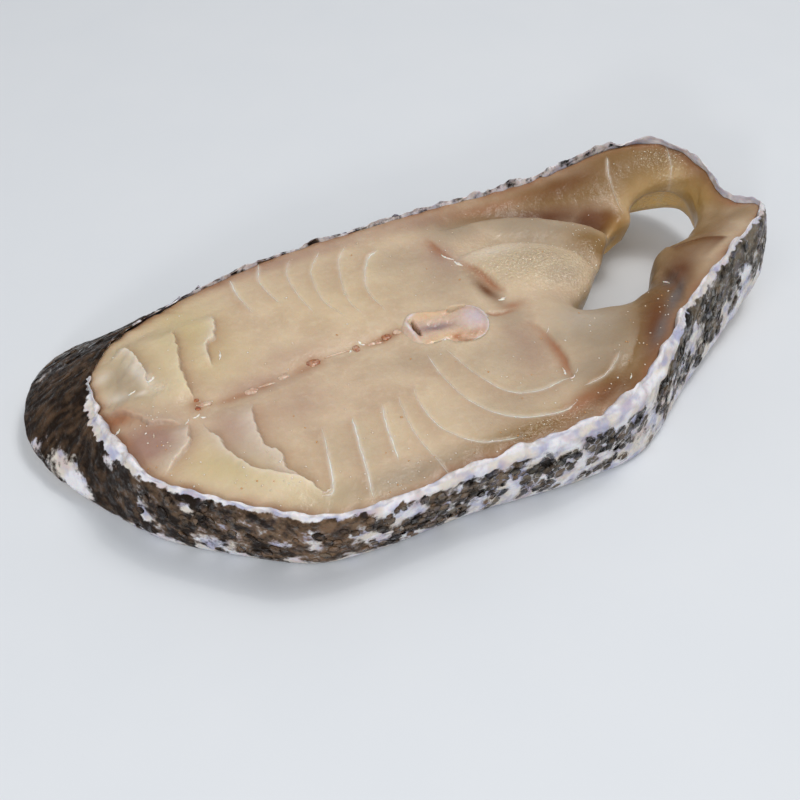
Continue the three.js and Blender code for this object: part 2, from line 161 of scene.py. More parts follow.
BEFORE_EDGE = (0.5, -0.3)  # and those before it

# Sheets of connective tissue between the muscle segments, where they meet the cut face.
# bright: how plainly each stretch shows, from its first end to its last.
SEPTA = named(("bright", "path"), (
    ([0.1, 0.6, 0.9, 0.7], [(-55, -28), (-57, -39), (-59, -49), (-61, -54), (-64, -54)]),
    ([0.8, 0.9, 0.6], [(-45, -28), (-47, -41), (-50, -60)]),
    ([0.4, 0.9, 0.6], [(-34, -26), (-36, -34), (-38, -50)]),
    ([0.3, 0.4, 0.4, 0.3], [(-28, -24), (-29, -32), (-29, -44), (-25, -61)]),
    ([0.2, 0.5, 0.4, 0.8, 0.6], [(-21, -21), (-23, -28), (-21, -42), (-12, -52), (2, -55)]),
    ([0.8, 0.3, 0.5, 0.8, 0.9, 0.8], [(-12, -10), (-11, -24), (-7, -37), (3, -47), (17, -50),
     (24, -48)]),
    ([0.4, 0.3, 0.7, 0.8, 0.8], [(-5, -10), (-1, -24), (5, -35), (15, -39), (27, -37)]),
    ([0.9, 0.7, 0.2], [(-61, 51), (-61, 40), (-59, 30)]),
    ([0.7, 0.5, 0.2], [(-49, 56), (-52, 44), (-49, 30)]),
    ([0.5, 0.4, 0.35, 0.1], [(-38, 54), (-42, 45), (-42, 32), (-40, 22)]),
    ([0.5, 0.4, 0.35, 0.1], [(-27, 54), (-34, 42), (-35, 27), (-31, 17)]),
    ([0.6, 0.4, 0.35, 0.1], [(-17, 53), (-23, 44), (-27, 25), (-25, 16)]),
    ([0.8, 0.6, 0.35, 0.2], [(-7, 46), (-13, 42), (-19, 27), (-17, 15)]),
    ([0.2, 0.4, 0.35, 0.2], [(46, -35), (40.5, -40), (35, -42.5), (29, -43)]),
    ([0.65, 0.45, 0.25, 0.05], [(90, 57), (87, 49), (86, 41), (86, 34)]),
    ([0.1, 0.3, 0.3], [(111, 50), (109, 42), (106, 35)]),
))
SEPTUM_FRAY = 0.35  # its raggedness beside a flake's
SEPTUM_RISE = 0.45  # step between two muscle segments
SEPTUM_REACH = 5.0
SEPTUM_GROOVE = (0.25, 0.6)  # depth and half width
SEPTUM_FILM = (0.75, 0.7)  # strength and half width of the white beside it
SEPTUM_PAINTED_SHADE = 0.7  # strength of the painted shade before it
SEPTUM_CREAM_AND_PAINTED_LIGHT = 0.5  # and of the cream colour and painted light behind it
SEPTUM_SOFT = 0.3  # half width of the border between the two
SEPTUM_STEP = 0.6  # spacing of its points
SEPTUM_HALF = (0.42, 0.14)  # half width of a plain one, and how much of it comes and goes
SEPTUM_LEAST = 0.05  # least half width
SEPTUM_TIPS = 0.08  # share of its length over which it narrows to its ends
SEPTUM_BENT = 0.3  # how far it wavers
SEPTUM_WAVE = 2.5  # and over what length
SEPTUM_LIFT = 0.1
STRIP_SINK = 0.25  # how far the edges of a strip go into the muscle
ABOVE = 60.0  # a height above the whole steak

# Tints of the muscle: colour, and patches in plan, each a place and its strength.
TINTS = {
    "honey": ((204, 184, 142), [
        (-82, 28, 14, 24, 0.2, 0.8), (-103, 20, 12, 16, 0, 0.7), (-86, -34, 20, 7, -0.6, 0.8),
        (-62, -55, 14, 5, -0.2, 0.55), (40, 18, 24, 10, -0.4, 0.35), (-30, 24, 30, 16, 0, 0.2)]),
    "rose": ((166, 132, 117), [
        (-106, -13, 12, 10, -0.5, 1.0), (-81, -18, 8, 9, 0.2, 0.6), (-68, -2, 14, 5, 0, 0.5),
        (-52, 6, 16, 5, 0, 0.35), (20, -18, 7, 14, 0, 0.6), (12, 33, 7, 12, 0, 0.7),
        (-62, -16, 20, 10, 0, 0.35), (20, 55, 24, 5, -0.1, 0.7), (-40, 53, 30, 4, 0.1, 0.6)]),
    "dusk": ((166, 148, 126), [
        (48, -22, 18, 20, 0, 1.0), (50, 38, 26, 9, -0.5, 0.9), (10, -40, 26, 10, 0.1, 0.45),
        (40, -36, 18, 10, 0.2, 0.9), (-30, -56, 40, 5, 0, 0.8), (22, -4, 8, 10, 0, 0.5),
        (-107, 15, 8, 13, 0.1, 0.7), (24, 46, 14, 8, 0, 0.7), (70, -6, 14, 10, 0.4, 1.0),
        (8, 22, 18, 14, 0, 0.4), (12, -20, 20, 14, 0, 0.4), (40, 18, 20, 9, -0.4, 0.35),
        (-2, 36, 10, 9, 0, 0.4), (-14, -11, 16, 6, 0, 0.4), (33, -19, 8, 9, 0, 0.6),
        (-48, -41, 12, 10, 0, 0.3), (8, -41, 14, 8, 0.1, 0.3), (48, 9, 9, 6, -0.4, 0.55),
        (-78, -30, 8, 6, 0, 0.3)]),
    # The belly's amber; on the near flap it also stands for painted shade on the steep face that
    # turns from the light.
    "amber": ((136, 106, 66), [
        (100, 50, 30, 15, -0.25, 1.0), (72, 50, 34, 9, -0.25, 1.0), (96, 8, 44, 14, 0.55, 0.72),
        (112, 16, 20, 12, 0.55, 0.66), (72, -18, 22, 10, 0.6, 1.0), (118, 32, 12, 24, 0, 1.0),
        (68, 22, 11, 8, -0.7, 1.0), (80, 33, 6, 6, 0, 0.9), (40, 54, 22, 6, 0, 0.7),
        (48, -46, 18, 7, 0.6, 0.9), (6, -54, 24, 5, 0.08, 0.9), (118, 9, 9, 8, 0, 0.7),
        (36, -46, 14, 5, 0.4, 0.9)]),
    # Painted shadow: dark brown in the creases, recesses, the far valley and the steep band of the
    # near flap.
    "umber_shadow": ((106, 62, 28), [
        (76, 36, 12, 5, -0.5, 1.0), (60, 45, 18, 4, -0.35, 0.8), (72, 54, 16, 6, 0, 0.6),
        (62, -30, 20, 5, 1.0, 0.9), (82, -10, 12, 6, 0.9, 0.9), (20, 12, 2.6, 8, 0.2, 0.8),
        (92, -2, 20, 5, 0.55, 0.5), (34, -49, 12, 4, 0.3, 0.7)]),
    "blood": ((156, 100, 66), [
        (-113, 2, 6, 3, -0.5, 0.9), (-88, -4, 2.5, 3.4, 0, 0.7), (-76, -4.6, 9, 1.5, 0.05, 0.55),
        (-66, -3, 4, 1.6, 0.2, 0.5), (-51, -0.5, 5, 2.6, 0.2, 0.6), (-47.5, 1, 3.6, 2.8, 0.2, 0.7),
        (-22, 3, 7, 1.8, 0.05, 0.8), (25, 1.4, 4, 1.8, 0, 0.6), (24, -49, 9, 3, 0.3, 0.7),
        (40, 56, 16, 2.5, -0.05, 0.5)]),
    "grey": ((108, 96, 90), [
        (78.5, -10.5, 5, 3, 0.9, 0.6), (74.5, -21, 9, 2.2, 0.79, 1.0),
        (63.5, -32, 9, 2.2, 0.77, 1.0)]),
    "pale": ((236, 226, 214), [
        (30, 29, 12, 3, -0.1, 0.3), (45, -14, 10, 7, 0, 0.2), (-101.5, 15, 9, 2.4, -1.28, 0.6),
        (-113, 21.7, 3, 2, 0.3, 0.4), (-110.6, 10.6, 4, 2, -0.6, 0.45), (-103, 7.3, 2, 1, 0, 0.6),
        (-97, 6.8, 2, 1.5, 0, 0.3)]),
}
TINT_MOTTLE = (5, 1.2, 0.15)  # size of their mottle, their strength, and how much it varies
EDGE_BROWN_AND_SHADE = (2.6, (150, 104, 74))  # reach and colour of the brown line where the muscle meets the skin, partly its own colour and partly painted shade in that corner
EDGE_MOTTLE = (9, 0.75, 0.5)  # size of that line's mottle, its strength, and how much it varies
# Cream colour of the raised side of an edge with painted light on it, and the painted shade of its
# low side.
CREAM_AND_PAINTED_LIGHT = (228, 214, 176)
PAINTED_SHADE = (168, 132, 104)
# Painted light that brightens the cavity's shaded wall.
WALL_PAINTED_LIGHT = (196, 172, 132)
WALL_FADE = (76, 60)  # plan places between which the painted light on the cavity's wall sets in
FLAP_WALL_PAINTED_LIGHT = (224, 184, 112)  # painted light on the shaded inner side of the belly flap
FLAP_EDGE = (0.3, 5, 6)  # strength of that painted light at the edge, and the reach of the edge on both sides
# Patches that are wet and finely bumpy, with painted glints in their colour.
WET_AND_GLINT_PATCHES = [
    (42, 17, 24, 11, -0.5, 1.0), (108, 45, 9, 6, -0.6, 0.9), (61, 19, 5, 5, 0, 0.5),
    (-97, 7, 4, 3, 0, 0.6), (12, -53, 14, 3, 0.1, 0.5),
]

# Torn white bits of tissue: plan place, half length, width and turn.
SHREDS = [
    (13.9, 32.9, 2.6, 1.0, -0.9), (16.0, 28.6, 2.2, 0.9, -1.1), (23.0, 5.6, 1.7, 1.0, 0.3),
    (30.4, -14.2, 1.2, 0.5, 0.9), (26.9, -33.4, 2.0, 0.5, 1.4), (27.8, -37.4, 1.2, 0.6, 0.4),
    (30.1, -35.7, 1.0, 0.4, 0.8), (-93, -10, 1.6, 0.6, 0.9), (-89.6, -8.9, 1.4, 0.6, 0.4),
    (-87.9, -10.1, 0.9, 0.4, -0.4), (-29.8, 4.0, 1.3, 0.7, -0.9), (-34, 2.4, 1.1, 0.5, 1.0),
    (-114, -3, 1.5, 0.6, 0.6), (-106, 9, 1.4, 0.5, 0.2), (-99, 11, 1.8, 0.7, 0.5),
    (44, -46, 1.2, 0.5, 1.0), (-75, 15, 2.2, 0.6, 1.3), (78.4, -9.6, 2.2, 0.6, 1.5),
    (-62, -53, 1.6, 0.5, 0.2), (20, -50, 1.5, 0.5, 0.3),
]
SHRED_POINTS = 13
SHRED_LIFT = 0.3
SHRED_WAVE = 0.8  # length over which it wavers
SHRED_BENT = (0.35, 0.5)  # how far it wavers and curves, in widths
SHRED_HALF = (0.65, 0.9)  # share of its width that it has, and how much of it comes and goes
SHRED_TIPS = 1.02  # a little over one, which leaves width at its ends

# Crumbs of tissue on the cut face, and clusters of pale drops that stand as painted glints:
# plan place, half length and width, turn, and number of drops.
CRUMB_POINTS = [
    (1, 0, 0), (0.3, 0.95, 0), (-0.8, 0.6, 0), (-0.8, -0.6, 0), (0.3, -0.95, 0),
    (0, 0, 0.7), (0, 0, -0.7)]
SPECKS = 260
SPECK_SEED = 3
SPECK_FIELD = ((-110, 75), (-60, 55))
SPECK_SIZE = (0.16, 0.36)
SPECK_LONG = (0.8, 1.8)
SPECK_FLAT = 0.8
SPECK_SHARES = (0.12, 0.88)  # of places with a crumb, everywhere and near the near edge
SPECK_BAND = 7  # distance of most crumbs from the edge
SPECK_EDGE = 1.5  # least distance
SPECK_BONE = 1  # and least distance from the vertebra
SPECK_LEVEL = 20.0  # lowest place
SPECK_STAND = 0.1
SPECK_ORANGE = 0.15  # share of orange crumbs
GLINT_DROPS = [
    (110, 47, 6, 2.5, -0.6, 26), (103, 50, 5, 2, -0.3, 10), (60, 20, 5, 3, -0.8, 20),
    (44, 18, 13, 6, -0.5, 36), (66, 27, 4, 2, -0.7, 14), (-101, -2, 4, 2, 0.2, 8),
    (12, -53, 12, 1.5, 0.1, 12),
]
GLINT_DROP_SIZE = (0.14, 0.34)

# Stations round the skin, counter-clockwise from the ridge of the back: plan place, share of
# dark skin, brownness of the dark (the rest is slate), width of the cut rim, bare white below
# it, height of the pale lower band, share that is drawn out to ridges, share of places with a
# scale, and lightness of the dark.
STATION_VALUES = ("x", "y", "dark", "brown", "rim", "margin", "foot", "comb", "scaly", "light")
SKIN_STATIONS = named(STATION_VALUES, (
    (-121, 12, 1.1, 1.0, 3.6, 1.5, 0, 1, 0, 0.1),
    (-118, -11, 1.1, 1.0, 4.0, 1.6, 1, 0.8, 0, 0.1),
    (-110, -29, 0.84, 0.9, 1.8, 0.6, 6, 0.2, 0.1, 0.15),
    (-92, -46, 0.86, 0.85, 1.8, 0.4, 5, 0, 0.1, 0.35),
    (-69, -62, 0.92, 0.95, 2.4, 0.6, 4, 0, 0.1, 0.7),
    (-49, -65, 0.74, 0.8, 3.0, 1.2, 3, 0, 0.4, 0.5),
    (-17, -62, 0.6, 0.55, 3.4, 2.4, 3, 0, 0.8, 0.5),
    (28, -58.5, 0.54, 0.45, 3.8, 3.6, 4, 0, 0.8, 0.5),
    (48, -50.5, 0.46, 0.4, 4.2, 7.0, 5, 0, 0.6, 0.6),
    (75, -29, 0.7, 0.3, 3.2, 0.9, 9, 0, 0.2, 0.5),
    (101, -12.5, 0.76, 0.3, 2.4, 0.6, 11, 0, 0.15, 0.6),
    (123, 1.5, 0.74, 0.3, 2.2, 0.4, 11, 0, 0.15, 0.7),
    (120.5, 21, 0.45, 0.3, 1.4, 1.2, 10, 0, 0.5, 0.6),
    (111, 52, 0.5, 0.3, 1.6, 0.6, 8, 0, 0.6, 0.5),
    (80, 63, 0.55, 0.3, 2.0, 0.8, 6, 0, 0.6, 0.5),
    (30, 63, 0.8, 0.5, 1.2, 0.0, 4, 0, 0.8, 0.4),
    (-10, 61, 0.65, 0.5, 1.0, 0.4, 3, 0, 0.8, 0.3),
    (-68, 53, 0.9, 0.6, 0.95, 0.0, 2, 0, 0.7, 0.3),
    (-92, 45, 1.0, 0.8, 0.9, 0.0, 1, 0.5, 0.3, 0.2),
    (-118, 26, 1.1, 1.0, 0.4, 0.0, 0, 1, 0, 0.1),
))
LEVEL_STEP = 0.4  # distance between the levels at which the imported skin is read
DIRECTIONS = 1440  # directions in which it is read
FAR, CLOSE = 300.0, 30.0  # distances between which it is looked for
SIDE_STEPS = 24  # steps up its outer side
SIDE_SOFT = 2  # columns on both sides over which it is softened
SKIN_COLUMN = 0.55  # spacing of the columns round the skin
SKIN_ROWS = 36  # rows up its outer side
RIM_ROWS = 7  # rows over its cut rim
INNER_ROWS = 4  # rows down its inner side
SKIN_DEEP = 2.6  # thickness of the skin at its foot
FAR_SIDE = (0.2, 0.6)  # how far a direction points away from the camera where the far side sets in
RIM_BUMPS = [(9.0, 1.1), (4.0, 0.55), (1.7, 0.15)]  # wavelength and height
RIM_WAVE = (6.0, 0.5)  # length and depth of the waves of its inner edge
RIM_USUAL = 2.4  # width of a rim whose bumps have their whole height
BUMP_SHARES = (0.4, 1.5)  # least and greatest share of it at other widths
FAR_BUMPS = 0.6  # how much more of it scaly skin has on the far side
BUMP_OUT = 0.5  # how far a bump leans out beside its height
SHOULDER_DROP = 0.25  # drop of the rim's outer edge in widths of the rim
INNER_DROP, INNER_BUMPS = 0.3, 0.5  # drop of its inner edge, and share of the bumps there
CREST_RISE, CREST_BUMPS, CREST_ROUND = 0.4, 0.7, 0.8  # rise between them, bumps and roundness
RIM_ROUGH = (2.2, 0.35)  # size and depth of the roughness of the cut rim
FOOT_CALM = 0.08  # share of the height over which the relief sets in above the foot
INNER_STEPS, INNER_FOOT = 1.5, 0.1  # spread of the inner rows, and height of the last one
RIM_BARE = (0.5, 1.0)  # widths below which the rim is dark and above which it is bare
SKIN_SWELLS = [(14.0, 0.4), (5.0, 0.25)]
CREASES = [(3.4, 0.4), (1.6, 0.2)]  # wavelength and depth of the skin's creases
CREASE_MEAN = 0.25
PUFFS = [(7.0, 1.2), (3.0, 0.6)]  # wavelength and height of the bare skin's folds below a wide rim
PUFF_MARGIN = 6  # bare white below the rim where they have their whole height
PUFF_FROM = (0.5, 0.8)  # shares of the skin's height between which they set in
COMB = (1.6, 5.0, 0.5)  # width, length and height of the ridges of the back
COMB_BENT = (12, 3)  # length over which they waver, and how far

# Patches of the skin: place, half length along it and up it, and how much darker or paler.
SKIN_PATCHES = [
    (-128, 46, 14, 3, 8, -0.3), (-137, 16, 8, 5, 5, -0.6), (-131, 3, 10, 8, 6, -0.8),
    (-127, -6, 7, 7, 4, -0.7), (-120, -10, 24, 4, 4, -0.7), (-125, -5, 17, 3.5, 3, 0.7),
    (-114, -26, 15, 1.8, 7, -0.5), (-113, -27, 12, 2, 2.5, -0.6), (-102, -38, 24, 2.5, 2.5, -0.5),
    (-96, -41, 8.7, 6, 3, -0.45), (-100, -37, 3, 2.5, 3, -0.7), (-68, -62, 24, 3, 3.5, -0.6),
    (-77, -56, 15, 6, 2, -0.45), (-76, -53, 4, 3.5, 3, -0.7), (-69, -60, 15, 3, 4, -0.6),
    (-60, -59, 5, 5, 5, -0.6), (-51, -63, 15, 5, 6, -0.6), (-47, -65, 28, 3, 3, -0.4),
    (-41, -64, 22.5, 4, 3, -0.4), (-36, -64, 23, 5, 4, -0.4), (-4, -59, 11, 6, 6, -0.3),
    (110, -11, 27, 4.5, 5, -0.6), (98, -19, 19, 4, 5, -0.5), (78, -31, 24, 3, 7, -0.5),
    (109, -13, 12, 12, 7, -0.6), (-121, -15, 12, 9, 9, 0.4), (-110, -28, 29, 4, 3, 0.4),
    (-106, -35, 20, 4, 4, 0.4), (-103, -35, 3, 3, 4, 0.5), (-81, -50, 2, 5, 4, 0.6),
    (-64, -63, 26, 4, 4, 0.5), (-73, -58, 16, 3, 2, 0.4), (-65, -59.5, 9, 3, 6, 0.6),
    (-57, -60, 7, 3.5, 5, 0.6), (-56, -65, 30, 4, 4, 0.6), (-48.5, -64, 21, 3.5, 4, 0.6),
    (-41, -65, 30, 3.5, 2, 0.5), (-38, -62, 15.5, 5, 4, 0.5), (-30, -63, 24, 4, 6, 0.6),
    (-20.5, -58.6, 8.5, 3, 3, 0.4), (-29, -59, 8, 4, 3, 0.5), (-11.5, -62, 29, 3.5, 3, 0.6),
    (-3, -62, 29, 3, 2.5, 0.6), (-6.6, -61.4, 24, 3, 2.5, 0.5), (6.7, -60.7, 21, 8, 3, 0.3),
    (-18, -61.5, 22, 5, 4, 0.5), (33, -58, 21, 3, 3, 0.5), (112, -7, 39, 9, 6, 0.5),
    (95, -20, 32, 9, 5, 0.45), (76.5, -30, 37, 6, 5, 0.6), (67.5, -36.5, 37.5, 5, 3, 0.55),
    (92, -23, 17, 4, 4, 0.5), (63, -42, 31, 5, 6, 0.55), (56, -48, 26, 5, 7, 0.55),
]
SCALY_PALE = 0.2  # how much paler the skin is between scales
STATION_DARK = 0.62  # weights of what makes the skin dark or pale
PATCH_DARK = 0.7
FOOT_PALE = 0.3
MARGIN_PALE = 0.6
FOOT_LEAST = 0.5  # least height of a pale lower band
FOOT_FADE = (0.3, 1.0)  # shares of its height between which it fades
MARGIN_RAGGED = (2.2, 1.4)  # size and depth of the raggedness of the bare margin's border
MARGIN_SOFT = 0.6  # half width of that border
RIM_DARK = (0.6, 1.4, 0.75)  # darkness of the rim, loss of it where bare, and less on the far side
COMB_LIGHT = 0.35  # how much lighter the back is, and the strength of painted highlight and shade across its ridges
COMB_CALM = 0.7  # and how much less mottled

# One scale: place across and along it, lift, and nearness to its middle.
SCALE_POINTS = [
    (-0.36, 0.0, 0.0, 0), (0.0, 0.0, 0.1, 0.5), (0.36, 0.0, 0.0, 0), (-0.5, 0.5, 0.2, 0),
    (-0.25, 0.5, 0.6, 0.8), (0.0, 0.5, 0.7, 1), (0.25, 0.5, 0.6, 0.8), (0.5, 0.5, 0.2, 0),
    (-0.42, 0.82, 0.3, 0), (-0.2, 0.84, 0.9, 0.7), (0.0, 0.85, 1.0, 0.8), (0.2, 0.84, 0.9, 0.7),
    (0.42, 0.82, 0.3, 0), (-0.2, 0.98, 0.4, 0), (0.0, 1.0, 0.5, 0), (0.2, 0.98, 0.4, 0),
]
SCALE_FACES = [
    (0, 4, 3), (0, 1, 4), (1, 5, 4), (1, 6, 5), (1, 2, 6), (2, 7, 6), (3, 4, 9, 8), (4, 5, 10, 9),
    (5, 6, 11, 10), (6, 7, 12, 11), (8, 9, 13), (9, 10, 14, 13), (10, 11, 15, 14), (11, 12, 15),
]
SCALE_EDGE = (0, 3, 8, 13, 14, 15, 12, 7, 2, 1)
SCALE_SEED = 11
SCALE_WIDE = 2.9
SCALE_LONG = 4.0
SCALE_SIZES = (0.65, 1.35)
SCALE_PITCH = 0.8  # distance between scales beside their width
SCALE_ROW = 2.1  # distance between rows of scales
SCALE_SHIFT = (0.28, 0.6)  # unevenness along the rows and of their heights
SCALE_START = -0.4  # height of the first row above the foot
SCALE_LIFT = 0.16
SCALE_STAND = 0.08  # distance of a scale from the skin below it
SCALE_SPREAD = 0.45  # unevenness of where the dark scales are
SCALE_OVER = 2.0  # how far scales stick up past the rim on the far side
SCALE_FAR = 0.3  # how far a direction points away from the camera where they do
SCALE_LIFTS = (0.4, 1.8)  # least and greatest lift beside the usual one
SCALE_TURN = 0.3  # unevenness of how they lie
SCALE_DARK = 0.5  # how much darker the middle of a scale is
SCALE_MOTTLE = (6, 0.5, 0.2, 0.14)  # size and height of lighter places, uneven brown and lightness

# Vertebra, and the middle line beside it
BONE_OUTLINE = [
    (-15.4, 4.4), (-11.5, 9.4), (-7.6, 10.0), (-1.3, 7.8), (5.8, 7.6), (12.2, 5.8), (14.9, 0.2),
    (13.6, -5.8), (9.4, -9.6), (3.2, -9.4), (-6.4, -7.7), (-12.4, -6.4), (-15.2, -0.5),
]
BONE_RINGS, BONE_AROUND = 40, 180
BONE_LEVEL = 28.0  # least height of its edge
BONE_RISE = 1.0  # height of its middle above its edge
BONE_NECK = 0.8  # share of the outline that goes down through the muscle
BONE_SOFT = 3  # steps on both sides over which its edge is softened
BONE_SINK = 0.1  # how far its edge goes into the muscle
NECK_DROP = 1.5  # distance of the neck below the edge
UNDER_SHARE, UNDER_DROP = 0.97, 0.6  # share of the outline below the edge, and its distance
BRINK_RISE = 0.5  # height of the brink of its end
BRINK_FROM = (-8, 3)  # plan places between which the brink sets in
BRINK_SOFT = 0.8  # its width
CROWN_FROM = (0.5, 3.5)  # distances from the edge between which the middle sets in
# Raised and sunken places of its end, each with its height.
BONE_SHAPES = [
    (9.5, -1.5, 6, 7, 0.2, 0.9), (-4, 0.8, 7, 2, -0.2, -0.9), (-13, 2.6, 1.3, 6.5, 0.1, 0.5)]
BONE_SWELLS = [(5, 0.35), (1.8, 0.2)]
BONE_RIDGE = (0.35, 1.3, 0.9)  # height of the ridge inside its edge, distance and width
RIDGE_FROM = (-9, 3)  # plan places between which the ridge sets in
RIDGE_BENT = (0.6, 1)  # how far they bend away from the middle, and the middle
BONE_WAIST = (-1, 8.5, 5, 4, 0.0, 1.0)  # stretch of its edge that stands higher
WAIST_RISE = 0.3
CANAL = (-10.8, 3.2, 1.1, 4.6, 0.1)
CANAL_DEEP = 5.0
CANAL_EDGE = (0.35, 0.6)  # shares of that place between which the canal sets in
CANAL_RAGGED = (1.3, 0.25)  # size and strength of the raggedness of its edge
WHITE_LINE = (0.6, 1, 0.4)  # strength of a white line inside the edge, distance and width
WHITE_FROM = (3, 8)  # plan places between which it sets in
BONE_SIDE = 0.9  # reach of the colour of its side
BONE_TINTS = {
    "peach": ((220, 186, 150), [
        (-4, 7, 8, 2.6, -0.1, 1.0), (-4, -5.4, 8, 2.6, -0.05, 1.0)]),
    "clay": ((188, 146, 112), [
        (8, -7, 5, 1.9, 0.05, 1.0), (6, 5.6, 4, 1.6, -0.1, 0.7)]),
    # Lilac of the sunken middle, and painted shade inside the right edge of the cap.
    "lilac_and_painted_shade": ((150, 126, 124), [
        (-4, 0.8, 6.5, 1.7, -0.2, 1.0), (-8, 1, 2, 2.6, 0, 0.6), (12, 1.5, 1.2, 4, -0.2, 0.6)]),
    "milk": ((206, 190, 196), [
        (10, -0.5, 4.4, 5, 0.2, 0.9)]),
    "orange": ((178, 118, 82), [
        (0.6, -6.2, 1.8, 1.3, 0, 1.0)]),
    "white": ((238, 232, 240), [
        (-12.7, 2.8, 0.6, 5, 0.1, 0.7), (-10.5, 8.4, 2.2, 0.7, 0.5, 0.7),
        (-4, -6.6, 1.3, 0.9, 0.2, 1.0)]),
    "canal": ((138, 90, 64), []),
}
# Beads of marrow and cartilage along the middle line: plan place, half sizes and redness.
BEADS = [
    ((-87.9, -1.9), (0.9, 0.8, 0.4), 1.0),
    ((-88.3, -5.6), (0.9, 0.9, 0.4), 1.0),
    ((-85.7, -4.4), (2.2, 1.1, 0.4), 0.25),
    ((-70.2, -3.6), (2.3, 1.4, 0.7), 0.3),
    ((-64.5, -2.6), (2.8, 0.45, 0.3), 0.15),
    ((-58.5, -1.3), (2.1, 1.1, 0.5), 0.0),
    ((-47.5, 1.1), (2.4, 1.7, 0.7), 0.75),
    ((-32, 2.4), (1.3, 1.8, 0.8), 0.6),
    ((-26.4, 2.8), (1.4, 0.8, 0.5), 0.05),
    ((-24, 2.7), (1.5, 1.0, 0.5), 0.3),
    ((-20.7, 3.3), (1.9, 1.3, 0.7), 0.8),
    ((-17, 3.5), (1.5, 1.2, 0.9), 0.0),
]
BEAD_SWELLS = [(1.6, 0.3), (0.7, 0.2)]
BEAD_STAND = -0.15  # share of a bead's height that its middle stands above the muscle
SPINE = [(-43.2, 2), (-38.7, 2.4), (-33.5, 2.6)]
SPINE_RADIUS = 0.4
SPINE_SHARES = (0.7, 0.3)  # share of its width at the tips, and the rest in the middle
SPINE_STEP = 0.5  # spacing of the points of the spine and of the vertebra's edge

# Camera, light and floor
TARGET = np.array([-17.0, 1.0, 0.0])
CAMERA_AZIMUTH = -22.0
CAMERA_ELEVATION = 46.0
CAMERA_DISTANCE = 450.0
LENS = 57.86
SENSOR = 36.0
SKY = 0.39
SKY_COLOR = (0.95, 0.97, 1.0, 1.0)
# Name, place to the right of, beyond and above the steak, size, power and colour.
LIGHTS = [
    ("key", (0.4, 0.2, 1.2), 0.5, 5.2, (1.0, 0.98, 0.95)),
    ("glint", (0.4, 0.2, 1.2), 0.1, 1.2, (1.0, 0.98, 0.95)),
    ("fill", (-0.25, -0.8, 0.9), 0.9, 4.4, (0.96, 0.98, 1.0)),
    ("spark", (-0.2, -1.35, 0.55), 0.2, 4.0, (1.0, 1.0, 1.0)),
]
FLOOR = 3.0


# Small helpers

def linear(red, green, blue):
    """Scene colour of a display colour given from 0 to 255."""
    share = np.array([red, green, blue]) / 255.0
    value = np.where(share <= 0.04045, share / 12.92, ((share + 0.055) / 1.055) ** 2.4)
    return (*value.tolist(), 1.0)


def smooth(low, high, value):
    """Nought at low and one at high, with a soft step between them."""
    share = np.clip((value - low) / (high - low), 0.0, 1.0)
    return share * share * (3.0 - 2.0 * share)


def bell(distance, wide):
    return np.exp(-((distance / wide) ** 2))


def rough(points, size, seed):
    """Soft noise between -1 and 1 with features of about the given size in millimetres."""
    shift = Vector((17.3 * seed, -9.1 * seed, 4.7 * seed))
    return np.array([noise.noise(Vector(p) / size + shift) for p in points])


def waves(points, table, seed):
    """Sum of noises, each of a size and height in the table."""
    return sum(height * rough(points, size, seed + k) for k, (size, height) in enumerate(table))


def flattened(plan):
    """Plan points at height nought."""
    return np.column_stack([plan, np.zeros(len(plan))])


def headings(angle):
    """Unit vectors in plan at the given angles."""
    return np.column_stack([np.cos(angle), np.sin(angle)])


def softened(values, reach):
    """Mean of values round a loop over some steps to both sides."""
    return sum(np.roll(values, k) for k in range(-reach, reach + 1)) / (2 * reach + 1)


def round_values(angles, values, wanted):
    """Values given round the steak, at other angles."""
    order = np.argsort(angles)
    return np.interp(wanted, angles[order], values[order], period=2 * math.pi)


def curved(path, step):
    """A smooth line through the path's points, evenly spaced."""
    ends = np.array(path, float)
    padded = np.vstack([2 * ends[0] - ends[1], ends, 2 * ends[-1] - ends[-2]])
    fine = []
    for a, b, c, d in zip(padded, padded[1:], padded[2:], padded[3:]):
        for t in np.linspace(0, 1, CURVE_STEPS, endpoint=False):
            fine.append(0.5 * (2 * b + (c - a) * t + (2 * a - 5 * b + 4 * c - d) * t**2
                               + (3 * b - a - 3 * c + d) * t**3))
    fine.append(ends[-1])
    return evenly(np.array(fine), step)


def evenly(line, step):
    lengths = np.append(0, np.cumsum(np.linalg.norm(np.diff(line, axis=0), axis=1)))
    count = max(2, int(round(lengths[-1] / step)) + 1)
    stops = np.linspace(0, lengths[-1], count)
    return np.stack([np.interp(stops, lengths, line[:, k]) for k in range(line.shape[1])], axis=1)


def approach(line, plan, shift=0.0):
    """Distance of plan points from a line, signed by its left side, and the place along it."""
    best = np.full(len(plan), np.inf)
    signed = np.zeros(len(plan))
    along = np.zeros(len(plan))
    spans = len(line) - 1
    for k in range(spans):
        a, step = line[k], line[k + 1] - line[k]
        away = plan - a
        share = np.clip(away @ step / (step @ step), 0, 1)
        distance = np.linalg.norm(away - share[:, None] * step, axis=1)
        side = np.where(step[0] * away[:, 1] - step[1] * away[:, 0] >= 0, 1.0, -1.0)
        closer = distance < best
        best = np.where(closer, distance, best)
        signed = np.where(closer, side * distance, signed)
        along = np.where(closer, (k + share) / spans, along)
    return signed + shift, along


def along_values(values, along):
    return np.interp(along, np.linspace(0, 1, len(values)), values)


def dying(along, share):
    """One along a line, falling to nothing at both its ends."""
    return smooth(0, share, along) * smooth(0, share, 1 - along)


